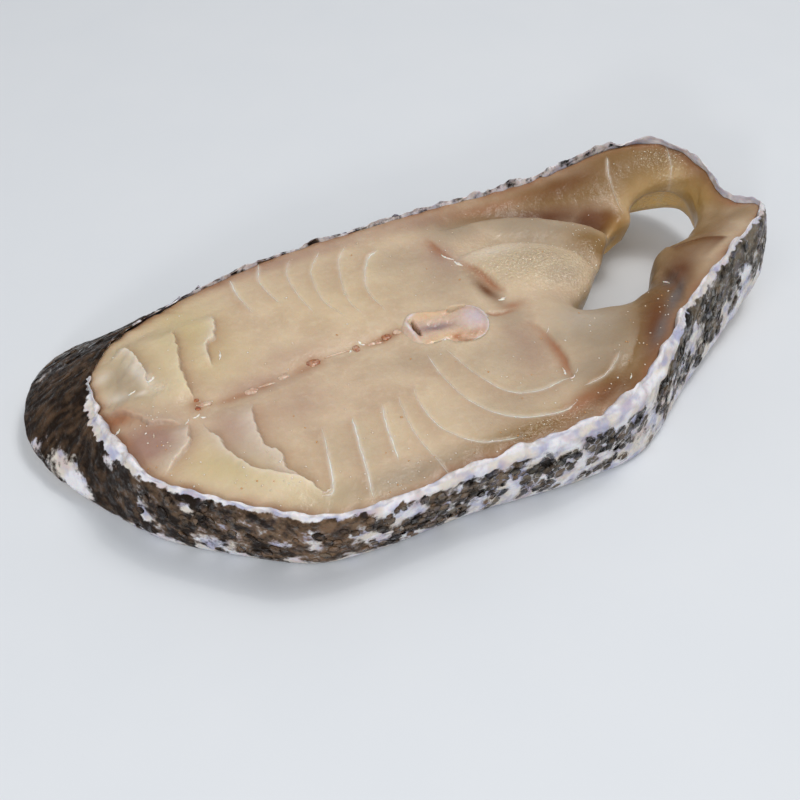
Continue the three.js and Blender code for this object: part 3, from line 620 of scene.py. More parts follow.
def tint(plan, patches):
    """The strongest of some patches at each plan point."""
    total = np.zeros(len(plan))
    for x, y, long, wide, turn, strength in patches:
        dx, dy = plan[:, 0] - x, plan[:, 1] - y
        u = (dx * math.cos(turn) + dy * math.sin(turn)) / long
        v = (dy * math.cos(turn) - dx * math.sin(turn)) / wide
        total = np.maximum(total, strength * np.exp(-(u * u + v * v)))
    return total


def patch(plan, place):
    """Share of one place at each plan point."""
    return tint(plan, [(*place, 1.0)])


def stand(name, data):
    """A new object in the scene."""
    thing = bpy.data.objects.new(name, data)
    bpy.context.scene.collection.objects.link(thing)
    return thing


def make_piece(name, points, faces, material, slot, node=None):
    """A mesh object of the steak from section millimetres."""
    mesh = bpy.data.meshes.new(name)
    mesh.from_pydata(((np.asarray(points) + ORIGIN) * MM).tolist(), [], faces)
    mesh.validate()
    mesh.shade_smooth()
    mesh.materials.append(material)
    thing = stand(name, mesh)
    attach(thing, BODY)
    if node:
        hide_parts(node)
    return thing


def mark(thing, masks):
    """Puts masks on the points of a piece, for its material to read."""
    for name, values in masks.items():
        layer = thing.data.attributes.new(name, "FLOAT", "POINT")
        layer.data.foreach_set("value", np.asarray(values, np.float32))


def ring_faces(count, around, closed=False):
    """Faces between rings of points; closed joins the last ring to the first."""
    faces = []
    for k in range(count if closed else count - 1):
        low, high = k * around, (k + 1) % count * around
        for m in range(around):
            on = (m + 1) % around
            faces.append((low + m, low + on, high + on, high + m))
    return faces


def loft(rings):
    """Points and faces of a closed tube through rings of points, with both ends closed."""
    count, around = rings.shape[:2]
    faces = ring_faces(count, around)
    faces.append(tuple(range(around))[::-1])
    faces.append(tuple(range((count - 1) * around, count * around)))
    return rings.reshape(-1, 3), faces


def joined(parts):
    """One list of points and faces from several."""
    points, faces, base = [], [], 0
    for some_points, some_faces in parts:
        points.append(some_points)
        faces.extend(tuple(base + k for k in face) for face in some_faces)
        base += len(some_points)
    return np.vstack(points), faces


# Muscle

def solid_relief(plan):
    """Flakes less grooves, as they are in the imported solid."""
    total = np.zeros(len(plan))
    for flake in FLAKES:
        signed, along = approach(flake["line"], plan)
        raised = np.where(signed > 0, np.exp(-np.abs(signed) / flake["reach"]), 0)
        total += flake["rise"] * dying(along, FLAKE_ENDS) * raised
    for groove in SOLID_GROOVES:
        signed, along = approach(groove["line"], plan)
        total -= along_values(groove["deep"], along) * bell(signed, groove["wide"])
    return total


def broken_face(plan, fray):
    """Relief of the frayed flakes, folds and septa, and the masks of their colours.

    Pale film and a cream colour with painted light lie behind an edge, painted shade before it.
    Blood stays in some folds, and two others have bands of painted shade on their left, one amber
    and one umber.
    """
    rise = np.zeros(len(plan))
    masks = {name: np.zeros(len(plan))
             for name in ("pale", "cream_and_painted_light", "painted_shade", "blood", "amber", "umber_shadow")}

    def show(name, shares):
        masks[name] = np.maximum(masks[name], shares)

    lip, lip_at, lip_wide = FLAKE_LIP
    for flake in FLAKES:
        frayed, along = approach(flake["line"], plan, fray)
        before, behind = np.minimum(frayed, 0), np.maximum(frayed, 0)
        ends = dying(along, FLAKE_ENDS)
        step = smooth(-STEP_SOFT, STEP_SOFT, frayed) * np.exp(-behind / flake["reach"])
        rise += ends * (flake["rise"] * step + lip * bell(frayed - lip_at, lip_wide))
        # Behind the edge a white film and a cream colour with painted light, before it painted
        # shade.
        shown = ends * smooth(*BEHIND_EDGE, frayed)
        show("pale", flake["film"] * shown * np.exp(-behind / flake["film_reach"]))
        show("cream_and_painted_light", flake["cream_and_painted_light"] * shown * np.exp(-behind / CREAM_REACH))
        shaded = smooth(*BEFORE_EDGE, frayed) * np.exp(before / PAINTED_SHADE_REACH)
        show("painted_shade", flake["painted_shade"] * ends * shaded)
    for fold in FOLDS:
        signed, along = approach(fold["line"], plan)
        frayed, ends = signed + FOLD_FRAY * fray, dying(along, FOLD_ENDS)
        left, right = fold["left"], fold["right"]
        deep = ends * along_values(fold["deep"], along)
        rise -= deep * bell(frayed, np.where(frayed > 0, left, right))
        if fold["stain"]:
            wide = np.where(frayed > 0, STAIN_SHARES[0] * left, STAIN_SHARES[1] * right)
            show("blood", ends * along_values(fold["stain"], along) * bell(frayed, wide))
        # A band of painted shade on the steep side beside the fold.
        if fold["band"]:
            reach, name = fold["band"]
            shown = ends * smooth(-BAND_SOFT, BAND_SOFT, frayed)
            show(name, shown * np.exp(-np.maximum(signed, 0) / reach))
    deep, groove = SEPTUM_GROOVE
    strength, wide = SEPTUM_FILM
    for septum in SEPTA:
        frayed, along = approach(septum["line"], plan, SEPTUM_FRAY * fray)
        before, behind = np.minimum(frayed, 0), np.maximum(frayed, 0)
        ends = dying(along, FOLD_ENDS)
        step = smooth(-STEP_SOFT, STEP_SOFT, -frayed) * np.exp(-np.abs(frayed) / SEPTUM_REACH)
        rise += ends * (SEPTUM_RISE * step - deep * bell(frayed, groove))
        shown = ends * along_values(septum["bright"], along)
        show("pale", strength * shown * bell(frayed, wide))
        # Painted shade before the septum's step, and a cream colour with painted light behind it.
        shaded = smooth(SEPTUM_SOFT, -SEPTUM_SOFT, frayed) * np.exp(before / PAINTED_SHADE_REACH)
        show("painted_shade", SEPTUM_PAINTED_SHADE * shown**0.5 * shaded)
        creamy = smooth(-SEPTUM_SOFT, SEPTUM_SOFT, frayed) * np.exp(-behind / SEPTUM_REACH)
        show("cream_and_painted_light", SEPTUM_CREAM_AND_PAINTED_LIGHT * shown**0.5 * creamy)
    return rise, masks


def cavity_wall(bm):
    """The connected group of walls that is nearest to the middle of the cavity."""
    walls = {face for face in bm.faces if face.material_index == WALL}
    groups = []
    while walls:
        group, waiting = set(), [walls.pop()]
        while waiting:
            face = waiting.pop()
            group.add(face)
            beside = {other for side in face.edges for other in side.link_faces if other in walls}
            walls -= beside
            waiting.extend(beside)
        groups.append(group)

    def away(group):
        middle = np.mean([face.calc_center_median() for face in group], axis=0)
        return math.dist(middle[:2] / MM - ORIGIN[:2], CAVITY_MIDDLE)

    return min(groups, key=away)


def fine_muscle():
    """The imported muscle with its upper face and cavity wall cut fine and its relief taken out."""
    bm = bmesh.new()
    bm.from_mesh(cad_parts["flesh"].data)
    bmesh.ops.remove_doubles(bm, verts=bm.verts, dist=WELD)
    for face in bm.faces:
        lean, heights = face.normal.z, [v.co.z / MM for v in face.verts]
        rises = lean > UPPER_TURN and max(heights) - min(heights) < WALL_TALL
        face.material_index = UPPER if rises else LOWER if lean < LOWER_TURN else WALL
    for face in cavity_wall(bm):
        face.material_index = CAVITY
    upper = list({v for face in bm.faces if face.material_index == UPPER for v in face.verts})
    plan = np.array([v.co for v in upper])[:, :2] / MM - ORIGIN[:2]
    for v, height in zip(upper, solid_relief(plan)):
        v.co.z -= height * MM
    fine = [face for face in bm.faces if face.material_index in (UPPER, CAVITY)]
    edges = list({edge for face in fine for edge in face.edges})
    bmesh.ops.subdivide_edges(bm, edges=edges, cuts=FINE_CUTS, use_grid_fill=True)
    bmesh.ops.triangulate(bm, faces=bm.faces)
    bm.verts.index_update()
    points = np.array([v.co for v in bm.verts]) / MM - ORIGIN
    faces = np.array([[v.index for v in face.verts] for face in bm.faces])
    zone = np.array([face.material_index for face in bm.faces])
    bm.free()
    return points, faces, zone


def settle(points, pairs, free, rounds):
    """Moves free points towards the mean of their neighbours."""
    a, b = np.concatenate([pairs, pairs[:, ::-1]]).T
    count = np.maximum(np.bincount(a, minlength=len(points)), 1)
    for _ in range(rounds):
        for axis in range(3):
            mean = np.bincount(a, weights=points[b, axis], minlength=len(points)) / count
            points[:, axis] += SETTLE_SHARE * free[:, axis] * (mean - points[:, axis])


def sides_of(faces):
    """Sides of triangles as pairs of points, and how many triangles use each."""
    pairs = np.sort(np.concatenate([faces[:, [0, 1]], faces[:, [1, 2]], faces[:, [2, 0]]]), axis=1)
    return np.unique(pairs, axis=0, return_counts=True)


def touched(count, faces):
    """Flags of the points that some faces or sides use."""
    flags = np.zeros(count, bool)
    flags[np.asarray(faces).ravel()] = True
    return flags


def nearest(plan, others):
    """Distance of plan points from the nearest of the others."""
    tree = KDTree(len(others))
    for number, (x, y) in enumerate(others):
        tree.insert((x, y, 0), number)
    tree.balance()
    return np.array([tree.find((x, y, 0))[2] for x, y in plan])


def bone_distance(plan):
    """Distance in plan from the side of the vertebra, negative inside it."""
    rounds = [np.hypot(plan[:, 0] - x, plan[:, 1] - y) - radius for x, y, radius in BONE_ROUNDS]
    return np.min(rounds, axis=0)


def rim_reach(angle, reach):
    """Angles round the muscle in even steps, and the reach of its rim at each."""
    step = np.round((angle + math.pi) / (2 * math.pi) * RIM_STEPS).astype(int) % RIM_STEPS
    most = np.zeros(RIM_STEPS)
    np.maximum.at(most, step, reach)
    found = most > 0
    steps = np.linspace(-math.pi, math.pi, RIM_STEPS, endpoint=False)
    whole = np.interp(steps, steps[found], most[found], period=2 * math.pi)
    return steps, (np.roll(whole, 1) + 2 * whole + np.roll(whole, -1)) / 4


def edge_distance(plan):
    """Distance in plan from the outer edge of the muscle's upper face."""
    angle = np.arctan2(plan[:, 1], plan[:, 0])
    inner, lean = (round_values(SKIN["angle"], SKIN[name], angle) for name in ("inner", "lean"))
    return np.maximum(0, inner - np.hypot(plan[:, 0], plan[:, 1])) * lean


def round_off(points, pairs, border, upper, wall):
    """Smooths the facets out, and rounds the cavity's edge and the far flap.

    Gives the distance of each point from the cavity's edge, and its share in the flap.
    """
    free = np.zeros((len(points), 3))
    free[upper & ~border, 2] = 1.0
    settle(points, pairs, free, FACET_ROUNDS)
    tab = wall & (points[:, 2] > TAB_LEVEL) & (patch(points, TAB) > TAB_SHARE)
    brow = (wall | upper) & ~border | upper & wall | tab
    free[:] = 0
    gap = nearest(points[brow, :2], points[upper & wall, :2])
    free[brow] = np.where(wall[brow], 1.0, bell(gap, BROW_REACH))[:, None]
    settle(points, pairs, free, BROW_ROUNDS)
    gap = nearest(points[:, :2], points[upper & wall, :2])
    flap = np.where(wall, 1.0, bell(gap, FLAP_REACH))
    for axis, span in enumerate(FLAP_FROM):
        flap = flap * smooth(*span, points[:, axis])
    free[brow] = flap[brow, None]
    settle(points, pairs, free, FLAP_ROUNDS)
    for place, push in BULGES:
        swollen = patch(points, place) * smooth(*BULGE_LEVELS, points[:, 2])
        points[:, :2] += np.outer(swollen, push)
    place, lift = FLAP_LIFT
    points[:, 2] += lift * patch(points, place) * (1 - smooth(*FLAP_LEVELS, points[:, 2]))
    return gap, flap


def meet_neighbours(points, upper, rim):
    """Draws the muscle out to the rim of the skin and in to the vertebra."""
    plan = points[:, :2]
    reach, angle = np.hypot(*plan.T), np.arctan2(plan[:, 1], plan[:, 0])
    edge = round_values(*rim_reach(angle[rim], reach[rim]), angle)
    wanted = round_values(SKIN["angle"], SKIN["inner"], angle) + RIM_TUCK
    close = np.where(upper, 1 - smooth(0, RIM_MEET, edge - reach), 0)
    out = plan / np.maximum(reach, 1)[:, None]
    plan += out * ((wanted - edge) * close)[:, None]
    rise, none = RIM_SWELL
    narrow = np.clip(1 - round_values(SKIN["angle"], SKIN["width"], angle) / none, 0, 1)
    points[:, 2] += rise * close * narrow
    wide, pull, lift = BONE_MEET
    near = np.where(upper, bell(np.maximum(bone_distance(plan), 0), wide), 0)
    middle = np.array([BONE_ROUNDS[0][:2] if x > 0 else BONE_ROUNDS[1][:2] for x, _ in plan])
    inward = middle - plan
    inward /= np.maximum(np.linalg.norm(inward, axis=1), 0.1)[:, None]
    plan += inward * (pull * near)[:, None]
    points[:, 2] += lift * near


def muscle(material):
    """Makes the muscle, and gives a tree of its faces to set other pieces on."""
    points, faces, zone = fine_muscle()
    count = len(points)
    pairs, uses = sides_of(faces[np.isin(zone, (UPPER, CAVITY))])
    border = touched(count, pairs[uses == 1])
    upper, wall = (touched(count, faces[zone == kind]) for kind in (UPPER, CAVITY))
    gap, flap = round_off(points, pairs, border, upper, wall)
    rim = upper & border & (edge_distance(points[:, :2]) < OUTER_REACH)
    meet_neighbours(points, upper, rim)

    plan = points[:, :2].copy()
    flat, edge = flattened(plan), edge_distance(plan)
    fray = waves(flat, FRAY, 1)
    rise, masks = broken_face(plan, fray)
    rise += waves(flat, SWELLS, 3)
    rise += patch(plan, LUMPY) * waves(flat, LUMPS, 13)
    inside = upper & ~border
    points[inside, 2] += (rise * smooth(0, EDGE_CALM, edge))[inside]

    thing = make_piece("muscle", points, faces.tolist(), material, "flesh", "flesh")
    size, strength, varied = TINT_MOTTLE
    mottle = strength + varied * rough(flat, size, 7)
    tints = {name: tint(plan, patches) * mottle for name, (_, patches) in TINTS.items()}
    for name, shares in masks.items():
        tints[name] = np.maximum(tints.get(name, 0), shares)
    # Brown line where the muscle meets the skin: partly its own colour, partly painted shade in
    # that corner.
    size, strength, varied = EDGE_MOTTLE
    brown = bell(edge, EDGE_BROWN_AND_SHADE[0]) * (strength + varied * rough(flat, size, 8))
    # Painted light on the belly flap's shaded inner side: full on the cavity wall away from its
    # brow, faint beside the brow.
    weak, within, around = FLAP_EDGE
    flap_painted_light = np.where(wall, weak + (1 - weak) * smooth(0, within, gap), weak * bell(gap, around))
    # Masks of the brown edge line with its painted shade, of the painted light on the cavity wall
    # and the flap, and of the wet patches with their painted glints.
    tints |= {"edge": np.where(upper, brown, 0),
              "wall": (wall & ~upper) * smooth(*WALL_FADE, plan[:, 0]),
              "flap": flap * flap_painted_light, "wet": tint(plan, WET_AND_GLINT_PATCHES)}
    mark(thing, {name: np.clip(values, 0, 1) for name, values in tints.items()})
    return BVHTree.FromPolygons(points.tolist(), faces.tolist())


def surface_height(tree, x, y):
    hit = tree.ray_cast(Vector((x, y, ABOVE)), Vector((0, 0, -1)))[0]
    return hit.z if hit else 0.0


def strip(tree, line, half, lift):
    """A thin tapered strip that lies on the muscle along a plan line."""
    step = np.gradient(line, axis=0)
    side = np.column_stack([-step[:, 1], step[:, 0]]) / np.linalg.norm(step, axis=1)[:, None]
    shape = [(-1, -STRIP_SINK), (-0.7, 0.6 * lift), (0, lift), (0.7, 0.6 * lift), (1, -STRIP_SINK),
             (0, -2 * STRIP_SINK)]
    rings = []
    for place, across, width in zip(line, side, half):
        spots = [place + across * away * width for away, _ in shape]
        heights = [surface_height(tree, x, y) for x, y in spots]
        if min(heights) < SPECK_LEVEL:
            break
        rings.append([(x, y, z + up) for (x, y), z, (_, up) in zip(spots, heights, shape)])
    return loft(np.array(rings)[:, ::-1])


def septa(tree, material):
    """Edges of the septa on the cut face, and torn bits of them."""
    parts = []
    broad, uneven = SEPTUM_HALF
    for septum in SEPTA:
        line = evenly(septum["line"], SEPTUM_STEP)
        along = np.linspace(0, 1, len(line))
        wave = rough(flattened(line), SEPTUM_WAVE, 9)
        half = broad * along_values(septum["bright"], along) - uneven + uneven * wave
        half = np.clip(half, SEPTUM_LEAST, None) * (dying(along, SEPTUM_TIPS) + SEPTUM_LEAST)
        line = line + SEPTUM_BENT * np.column_stack([wave, -wave])
        parts.append(strip(tree, line, half, SEPTUM_LIFT))
    reach = np.linspace(-1, 1, SHRED_POINTS)
    for number, (x, y, long, wide, turn) in enumerate(SHREDS):
        along, across = (math.cos(turn), math.sin(turn)), (-math.sin(turn), math.cos(turn))
        line = np.column_stack([x + long * reach * along[0], y + long * reach * along[1]])
        wave = rough(np.column_stack([line, np.full(SHRED_POINTS, number)]), SHRED_WAVE, 10)
        bent = SHRED_BENT[0] * wide * wave + SHRED_BENT[1] * wide * reach**2
        half = wide * (SHRED_TIPS - reach**2) * (SHRED_HALF[0] + SHRED_HALF[1] * wave)
        parts.append(strip(tree, line + bent[:, None] * across, half, SHRED_LIFT))
    make_piece("septa", *joined(parts), material, "flesh")


def specks(tree, material):
    """Crumbs of tissue over the cut face, most of them near its edge, and clusters of pale drops
    that stand as painted glints.
    """
    rng = np.random.default_rng(SPECK_SEED)
    unit, around = np.array(CRUMB_POINTS), len(CRUMB_POINTS) - 2
    steps = [(k, (k + 1) % around) for k in range(around)]
    faces = [(k, on, around) for k, on in steps] + [(on, k, around + 1) for k, on in steps]
    anywhere, by_edge = SPECK_SHARES
    parts, tone = [], []
    while len(parts) < SPECKS:
        spot = np.array([[rng.uniform(*span) for span in SPECK_FIELD]])
        edge = edge_distance(spot)[0]
        wanted = anywhere + by_edge * bell(edge - SPECK_BAND, SPECK_BAND) * (spot[0, 1] < 0)
        z = surface_height(tree, *spot[0])
        size = rng.uniform(*SPECK_SIZE)
        if edge < SPECK_EDGE or z < SPECK_LEVEL or rng.uniform() > wanted:
            continue
        if bone_distance(spot)[0] < SPECK_BONE:
            continue
        turn = rng.uniform(0, 2 * math.pi)
        c, s = math.cos(turn), math.sin(turn)
        spin = np.array([[c, -s, 0], [s, c, 0], [0, 0, 1]])
        stretch = np.array([rng.uniform(*SPECK_LONG), 1, SPECK_FLAT])
        middle = np.array([*spot[0], z + SPECK_STAND])
        parts.append((unit * stretch @ spin.T * size + middle, faces))
        tone.append(np.full(len(unit), float(rng.uniform() < SPECK_ORANGE)))
    # Pale drops that stand as painted glints.
    for x, y, long, wide, turn, number in GLINT_DROPS:
        places = zip(rng.normal(0, long, number), rng.normal(0, wide, number),
                     rng.uniform(*GLINT_DROP_SIZE, number))
        c, s = math.cos(turn), math.sin(turn)
        for u, v, size in places:
            spot = (x + u * c - v * s, y + u * s + v * c)
            z = surface_height(tree, *spot)
            if z > SPECK_LEVEL and edge_distance(np.array([spot]))[0] > SPECK_EDGE:
                parts.append((unit * size + np.array([*spot, z + SPECK_STAND]), faces))
                tone.append(np.full(len(unit), -1.0))
    thing = make_piece("specks", *joined(parts), material, "flesh")
    tone = np.concatenate(tone)
    mark(thing, {"orange": np.maximum(tone, 0), "glint_drop": np.maximum(-tone, 0)})


# Skin

def read_skin():
    """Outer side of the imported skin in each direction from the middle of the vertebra."""
    bm = bmesh.new()
    bm.from_mesh(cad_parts["skin"].data)
    bm.transform(Matrix.Translation(Vector(-ORIGIN)) @ Matrix.Scale(1 / MM, 4))
    tree = BVHTree.FromBMesh(bm)
    levels = np.arange(LEVEL_STEP, max(v.co.z for v in bm.verts), LEVEL_STEP)
    bm.free()
    directions = np.linspace(-math.pi, math.pi, DIRECTIONS, endpoint=False)
    shares = np.linspace(0, 1, SIDE_STEPS)
    foot, rim, sides = [], [], []
    for angle in directions:
        way = Vector((math.cos(angle), math.sin(angle), 0))
        hits = [(z, tree.ray_cast(way * FAR + Vector((0, 0, z)), -way, FAR - CLOSE)[0])
                for z in levels]
        heights, reaches = np.array([(z, math.hypot(hit.x, hit.y)) for z, hit in hits if hit]).T
        foot.append(heights[0])
        rim.append(heights[-1])
        sides.append(np.interp(shares, np.linspace(0, 1, len(reaches)), reaches))
    return directions, np.array(foot), np.array(rim), np.array(sides)


def round_stations(name, angle):
    """A value of the skin's stations at the given angles."""
    stations = np.array([math.atan2(s["y"], s["x"]) for s in SKIN_STATIONS])
    return round_values(stations, np.array([s[name] for s in SKIN_STATIONS], float), angle)


def skin_profile():
    """Columns round the skin, evenly spaced: foot, rim, outer side and inner edge of each."""
    directions, foot, rim, sides = read_skin()
    half_way = SIDE_STEPS // 2
    ring = sides[:, half_way, None] * headings(directions)
    steps = np.linalg.norm(np.diff(np.vstack([ring, ring[:1]]), axis=0), axis=1)
    lengths = np.append(0, np.cumsum(steps))
    count = int(round(lengths[-1] / SKIN_COLUMN))
    stops = np.linspace(0, lengths[-1], count, endpoint=False)
    angle = np.interp(stops, lengths, np.append(directions, math.pi))

    def taken(values):
        return softened(np.interp(angle, directions, values, period=2 * math.pi), SIDE_SOFT)

    side = np.column_stack([taken(sides[:, k]) for k in range(SIDE_STEPS)])
    place = headings(angle)
    plan = side[:, half_way, None] * place
    along = np.roll(plan, -1, axis=0) - np.roll(plan, 1, axis=0)
    along /= np.linalg.norm(along, axis=1)[:, None]
    out = np.column_stack([along[:, 1], -along[:, 0]])
    lean = np.sum(out * place, axis=1)
    found = {"angle": angle, "foot": taken(foot), "rim": taken(rim), "side": side, "lean": lean,
             "place": place, "plan": plan, "out": out, "length": lengths[-1]}
    for name in STATION_VALUES[2:]:
        found["width" if name == "rim" else name + "_share"] = round_stations(name, angle)
    found["tall"] = found["rim"] - found["foot"]
    found["far"] = smooth(*FAR_SIDE, place[:, 1])
    long, deep = RIM_WAVE
    found["width"] *= 1 + deep * rough(flattened(plan), long, 30)
    found["inner"] = side[:, -SIDE_STEPS // 12] - found["width"] / lean
    return found


def combed(points, arc):
    """Noise drawn out up the skin's side."""
    wide, long, _ = COMB
    size, aside = COMB_BENT
    bent = arc + aside * rough(points, size, 37)
    return rough(np.column_stack([bent / wide, points[:, 2] / long, 0 * arc]), 1.0, 38)


def outer_relief(point, share, arc):
    """Swells, creases, ridges and folds of one row of the skin's outer side."""
    creased = sum(depth * (CREASE_MEAN - np.abs(rough(point, size, 33 + k)))
                  for k, (size, depth) in enumerate(CREASES))
    ridges = COMB[2] * combed(point, arc)
    puffed = waves(point, PUFFS, 39)
    puffed *= np.clip(SKIN["margin_share"] / PUFF_MARGIN, 0, 1) * smooth(*PUFF_FROM, share)
    return waves(point, SKIN_SWELLS, 31) + (
        puffed + creased + SKIN["comb_share"] * (ridges - creased))


def skin_grid():
    """Rows of points up the outer side of the skin, over its rim and down inside."""
    place, out, side, width = SKIN["place"], SKIN["out"], SKIN["side"], SKIN["width"]
    ring = np.column_stack([place * side[:, -1:], SKIN["rim"]])
    bumps = waves(ring, RIM_BUMPS, 20)
    scaly = FAR_BUMPS * SKIN["scaly_share"] * SKIN["far"]
    bumps *= np.clip(width / RIM_USUAL, *BUMP_SHARES) + scaly
    arc = np.arange(len(ring)) * SKIN_COLUMN
    rows = []
    for share in np.linspace(0, 1, SKIN_ROWS):
        below = share * (SIDE_STEPS - 1)
        low = min(int(below), SIDE_STEPS - 2)
        reach = side[:, low] + (side[:, low + 1] - side[:, low]) * (below - low)
        z = SKIN["foot"] + (SKIN["tall"] - SHOULDER_DROP * width) * share + bumps * share**4
        point = np.column_stack([place * reach[:, None], z])
        wavy = outer_relief(point, share, arc)
        moved = wavy * smooth(0, FOOT_CALM, share) + BUMP_OUT * bumps * share**3
        point[:, :2] += out * moved[:, None]
        rows.append(point)
    shoulder = rows[-1]
    inner = place * SKIN["inner"][:, None]
    inner = np.column_stack([inner, SKIN["rim"] - INNER_DROP * width + INNER_BUMPS * bumps])
    for k in range(1, RIM_ROWS + 1):
        crest = math.sin(math.pi * k / RIM_ROWS)
        point = shoulder + (inner - shoulder) * (k / RIM_ROWS)
        point[:, 2] += (CREST_RISE * width + CREST_BUMPS * bumps) * crest**CREST_ROUND
        point[:, :2] += out * (RIM_ROUGH[1] * rough(point, RIM_ROUGH[0], 35))[:, None] * crest
        rows.append(point)
    bottom = side[:, 0] - SKIN_DEEP / SKIN["lean"]
    for k in range(1, INNER_ROWS + 1):
        share = (k / INNER_ROWS) ** INNER_STEPS
        reach = SKIN["inner"] + (bottom - SKIN["inner"]) * share
        z = inner[:, 2] + (SKIN["foot"] + INNER_FOOT - inner[:, 2]) * share
        rows.append(np.column_stack([place * reach[:, None], z]))
    return np.array(rows)


def skin_tint(column, up):
    """Sum of the patches of the skin at a column and a height above its foot."""
    arc, around = column * SKIN_COLUMN, len(SKIN["angle"]) * SKIN_COLUMN
    total = 0 * up
    for x, y, z, long, tall, strength in SKIN_PATCHES:
        at = np.argmin(np.hypot(*(SKIN["plan"] - (x, y)).T))
        away = (arc - at * SKIN_COLUMN + around / 2) % around - around / 2
        above = up + SKIN["foot"][at] - z
        total = total + strength * np.exp(-((away / long) ** 2 + (above / tall) ** 2))
    return total


def darkness(column, up):
    """How far the skin is dark rather than pale at a column and a height above its foot."""
    arc = column * SKIN_COLUMN
    spread = np.column_stack([np.ravel(arc + 0 * up), np.ravel(up), np.ravel(0 * up)])
    ragged = rough(spread, MARGIN_RAGGED[0], 36).reshape(np.shape(up))
    near_rim = up - (SKIN["tall"][column] - SKIN["margin_share"][column])
    near_rim = near_rim + MARGIN_RAGGED[1] * ragged
    foot = SKIN["foot_share"][column]
    band = 1 - smooth(*FOOT_FADE, up / np.maximum(foot, FOOT_LEAST))
    level = STATION_DARK * (SKIN["dark_share"][column] - 0.5)
    level = level - FOOT_PALE * np.where(foot > FOOT_LEAST, band, 0)
    level = level + PATCH_DARK * skin_tint(column, up)
    return level - MARGIN_PALE * smooth(-MARGIN_SOFT, MARGIN_SOFT, near_rim)


def skin(material):
    """Makes the skin, and gives the rows of its points."""
    rows = skin_grid()
    count, around = rows.shape[:2]
    points = rows.reshape(-1, 3)
    faces = ring_faces(count, around, closed=True)
    thing = make_piece("skin", points, faces, material, "skin", "skin")
    column = np.tile(np.arange(around), count)
    share = np.concatenate([np.linspace(0, 1, SKIN_ROWS), np.full(count - SKIN_ROWS, 2.0)])
    share = np.repeat(share, around)
    cut = np.where(share > 1, smooth(*RIM_BARE, SKIN["width"][column]), 0)
    dark = darkness(column, share * SKIN["tall"][column])
    dark = dark - SCALY_PALE * SKIN["scaly_share"][column]
    level, paler, less = RIM_DARK
    comb = SKIN["comb_share"][column]
    # Painted highlight on the ridge tops of the back and painted shade between them, from the noise
    # that raises the ridges.
    ridge_light_and_shade = comb * combed(points, column * SKIN_COLUMN)
    mark(thing, {
        "dark": np.where(share > 1, level - (paler - less * SKIN["far"][column]) * cut, dark),
        "cut": cut, "brown": SKIN["brown_share"][column],
        "light": SKIN["light_share"][column] - 0.5 + COMB_LIGHT * comb + COMB_LIGHT * ridge_light_and_shade,
        "mottled": 1 - COMB_CALM * comb})
    return rows


def on_skin(rows, s, h):
    """Points and outward directions on the outer side at column s and row h."""
    around = rows.shape[1]
    held = np.clip(h, 0, SKIN_ROWS - 1.001)
    k, r = np.floor(s).astype(int), np.floor(held).astype(int)
    fs, fr = (s - k)[..., None], (held - r)[..., None]
    k0, k1 = k % around, (k + 1) % around
    low = rows[r, k0] * (1 - fs) + rows[r, k1] * fs
    high = rows[r + 1, k0] * (1 - fs) + rows[r + 1, k1] * fs
    along = (rows[r, k1] - rows[r, k0]) * (1 - fr) + (rows[r + 1, k1] - rows[r + 1, k0]) * fr
    up = high - low
    out = np.cross(along, up)
    out /= np.linalg.norm(out, axis=-1)[..., None]
    past = np.maximum(h - held, 0)[..., None] * np.linalg.norm(up, axis=-1)[..., None]
    return low + up * fr + past * np.array([0, 0, 1.0]), out


def scale_places(rng):
    """Columns, heights, widths and lengths of the scales."""
    around = len(SKIN["angle"])
    columns = int(SKIN["length"] / (SCALE_PITCH * SCALE_WIDE))
    aside, higher = SCALE_SHIFT
    places = []
    for row in range(int(np.max(SKIN["tall"]) / SCALE_ROW) + 1):
        for number in range(columns):
            s = (number + 0.5 * (row % 2) + rng.normal(0, aside)) * around / columns
            k = int(s) % around
            up = row * SCALE_ROW + rng.normal(0, higher) + SCALE_START
            size = rng.uniform(*SCALE_SIZES)
            over = SCALE_OVER * rng.uniform(0, 1) if SKIN["place"][k, 1] > SCALE_FAR else 0
            top = SKIN["tall"][k] - SKIN["margin_share"][k] + over
            if up + SCALE_LONG * size < top and rng.uniform() < SKIN["scaly_share"][k]:
                places.append((s, up, SCALE_WIDE * size, SCALE_LONG * size, k))
    return np.array(places)


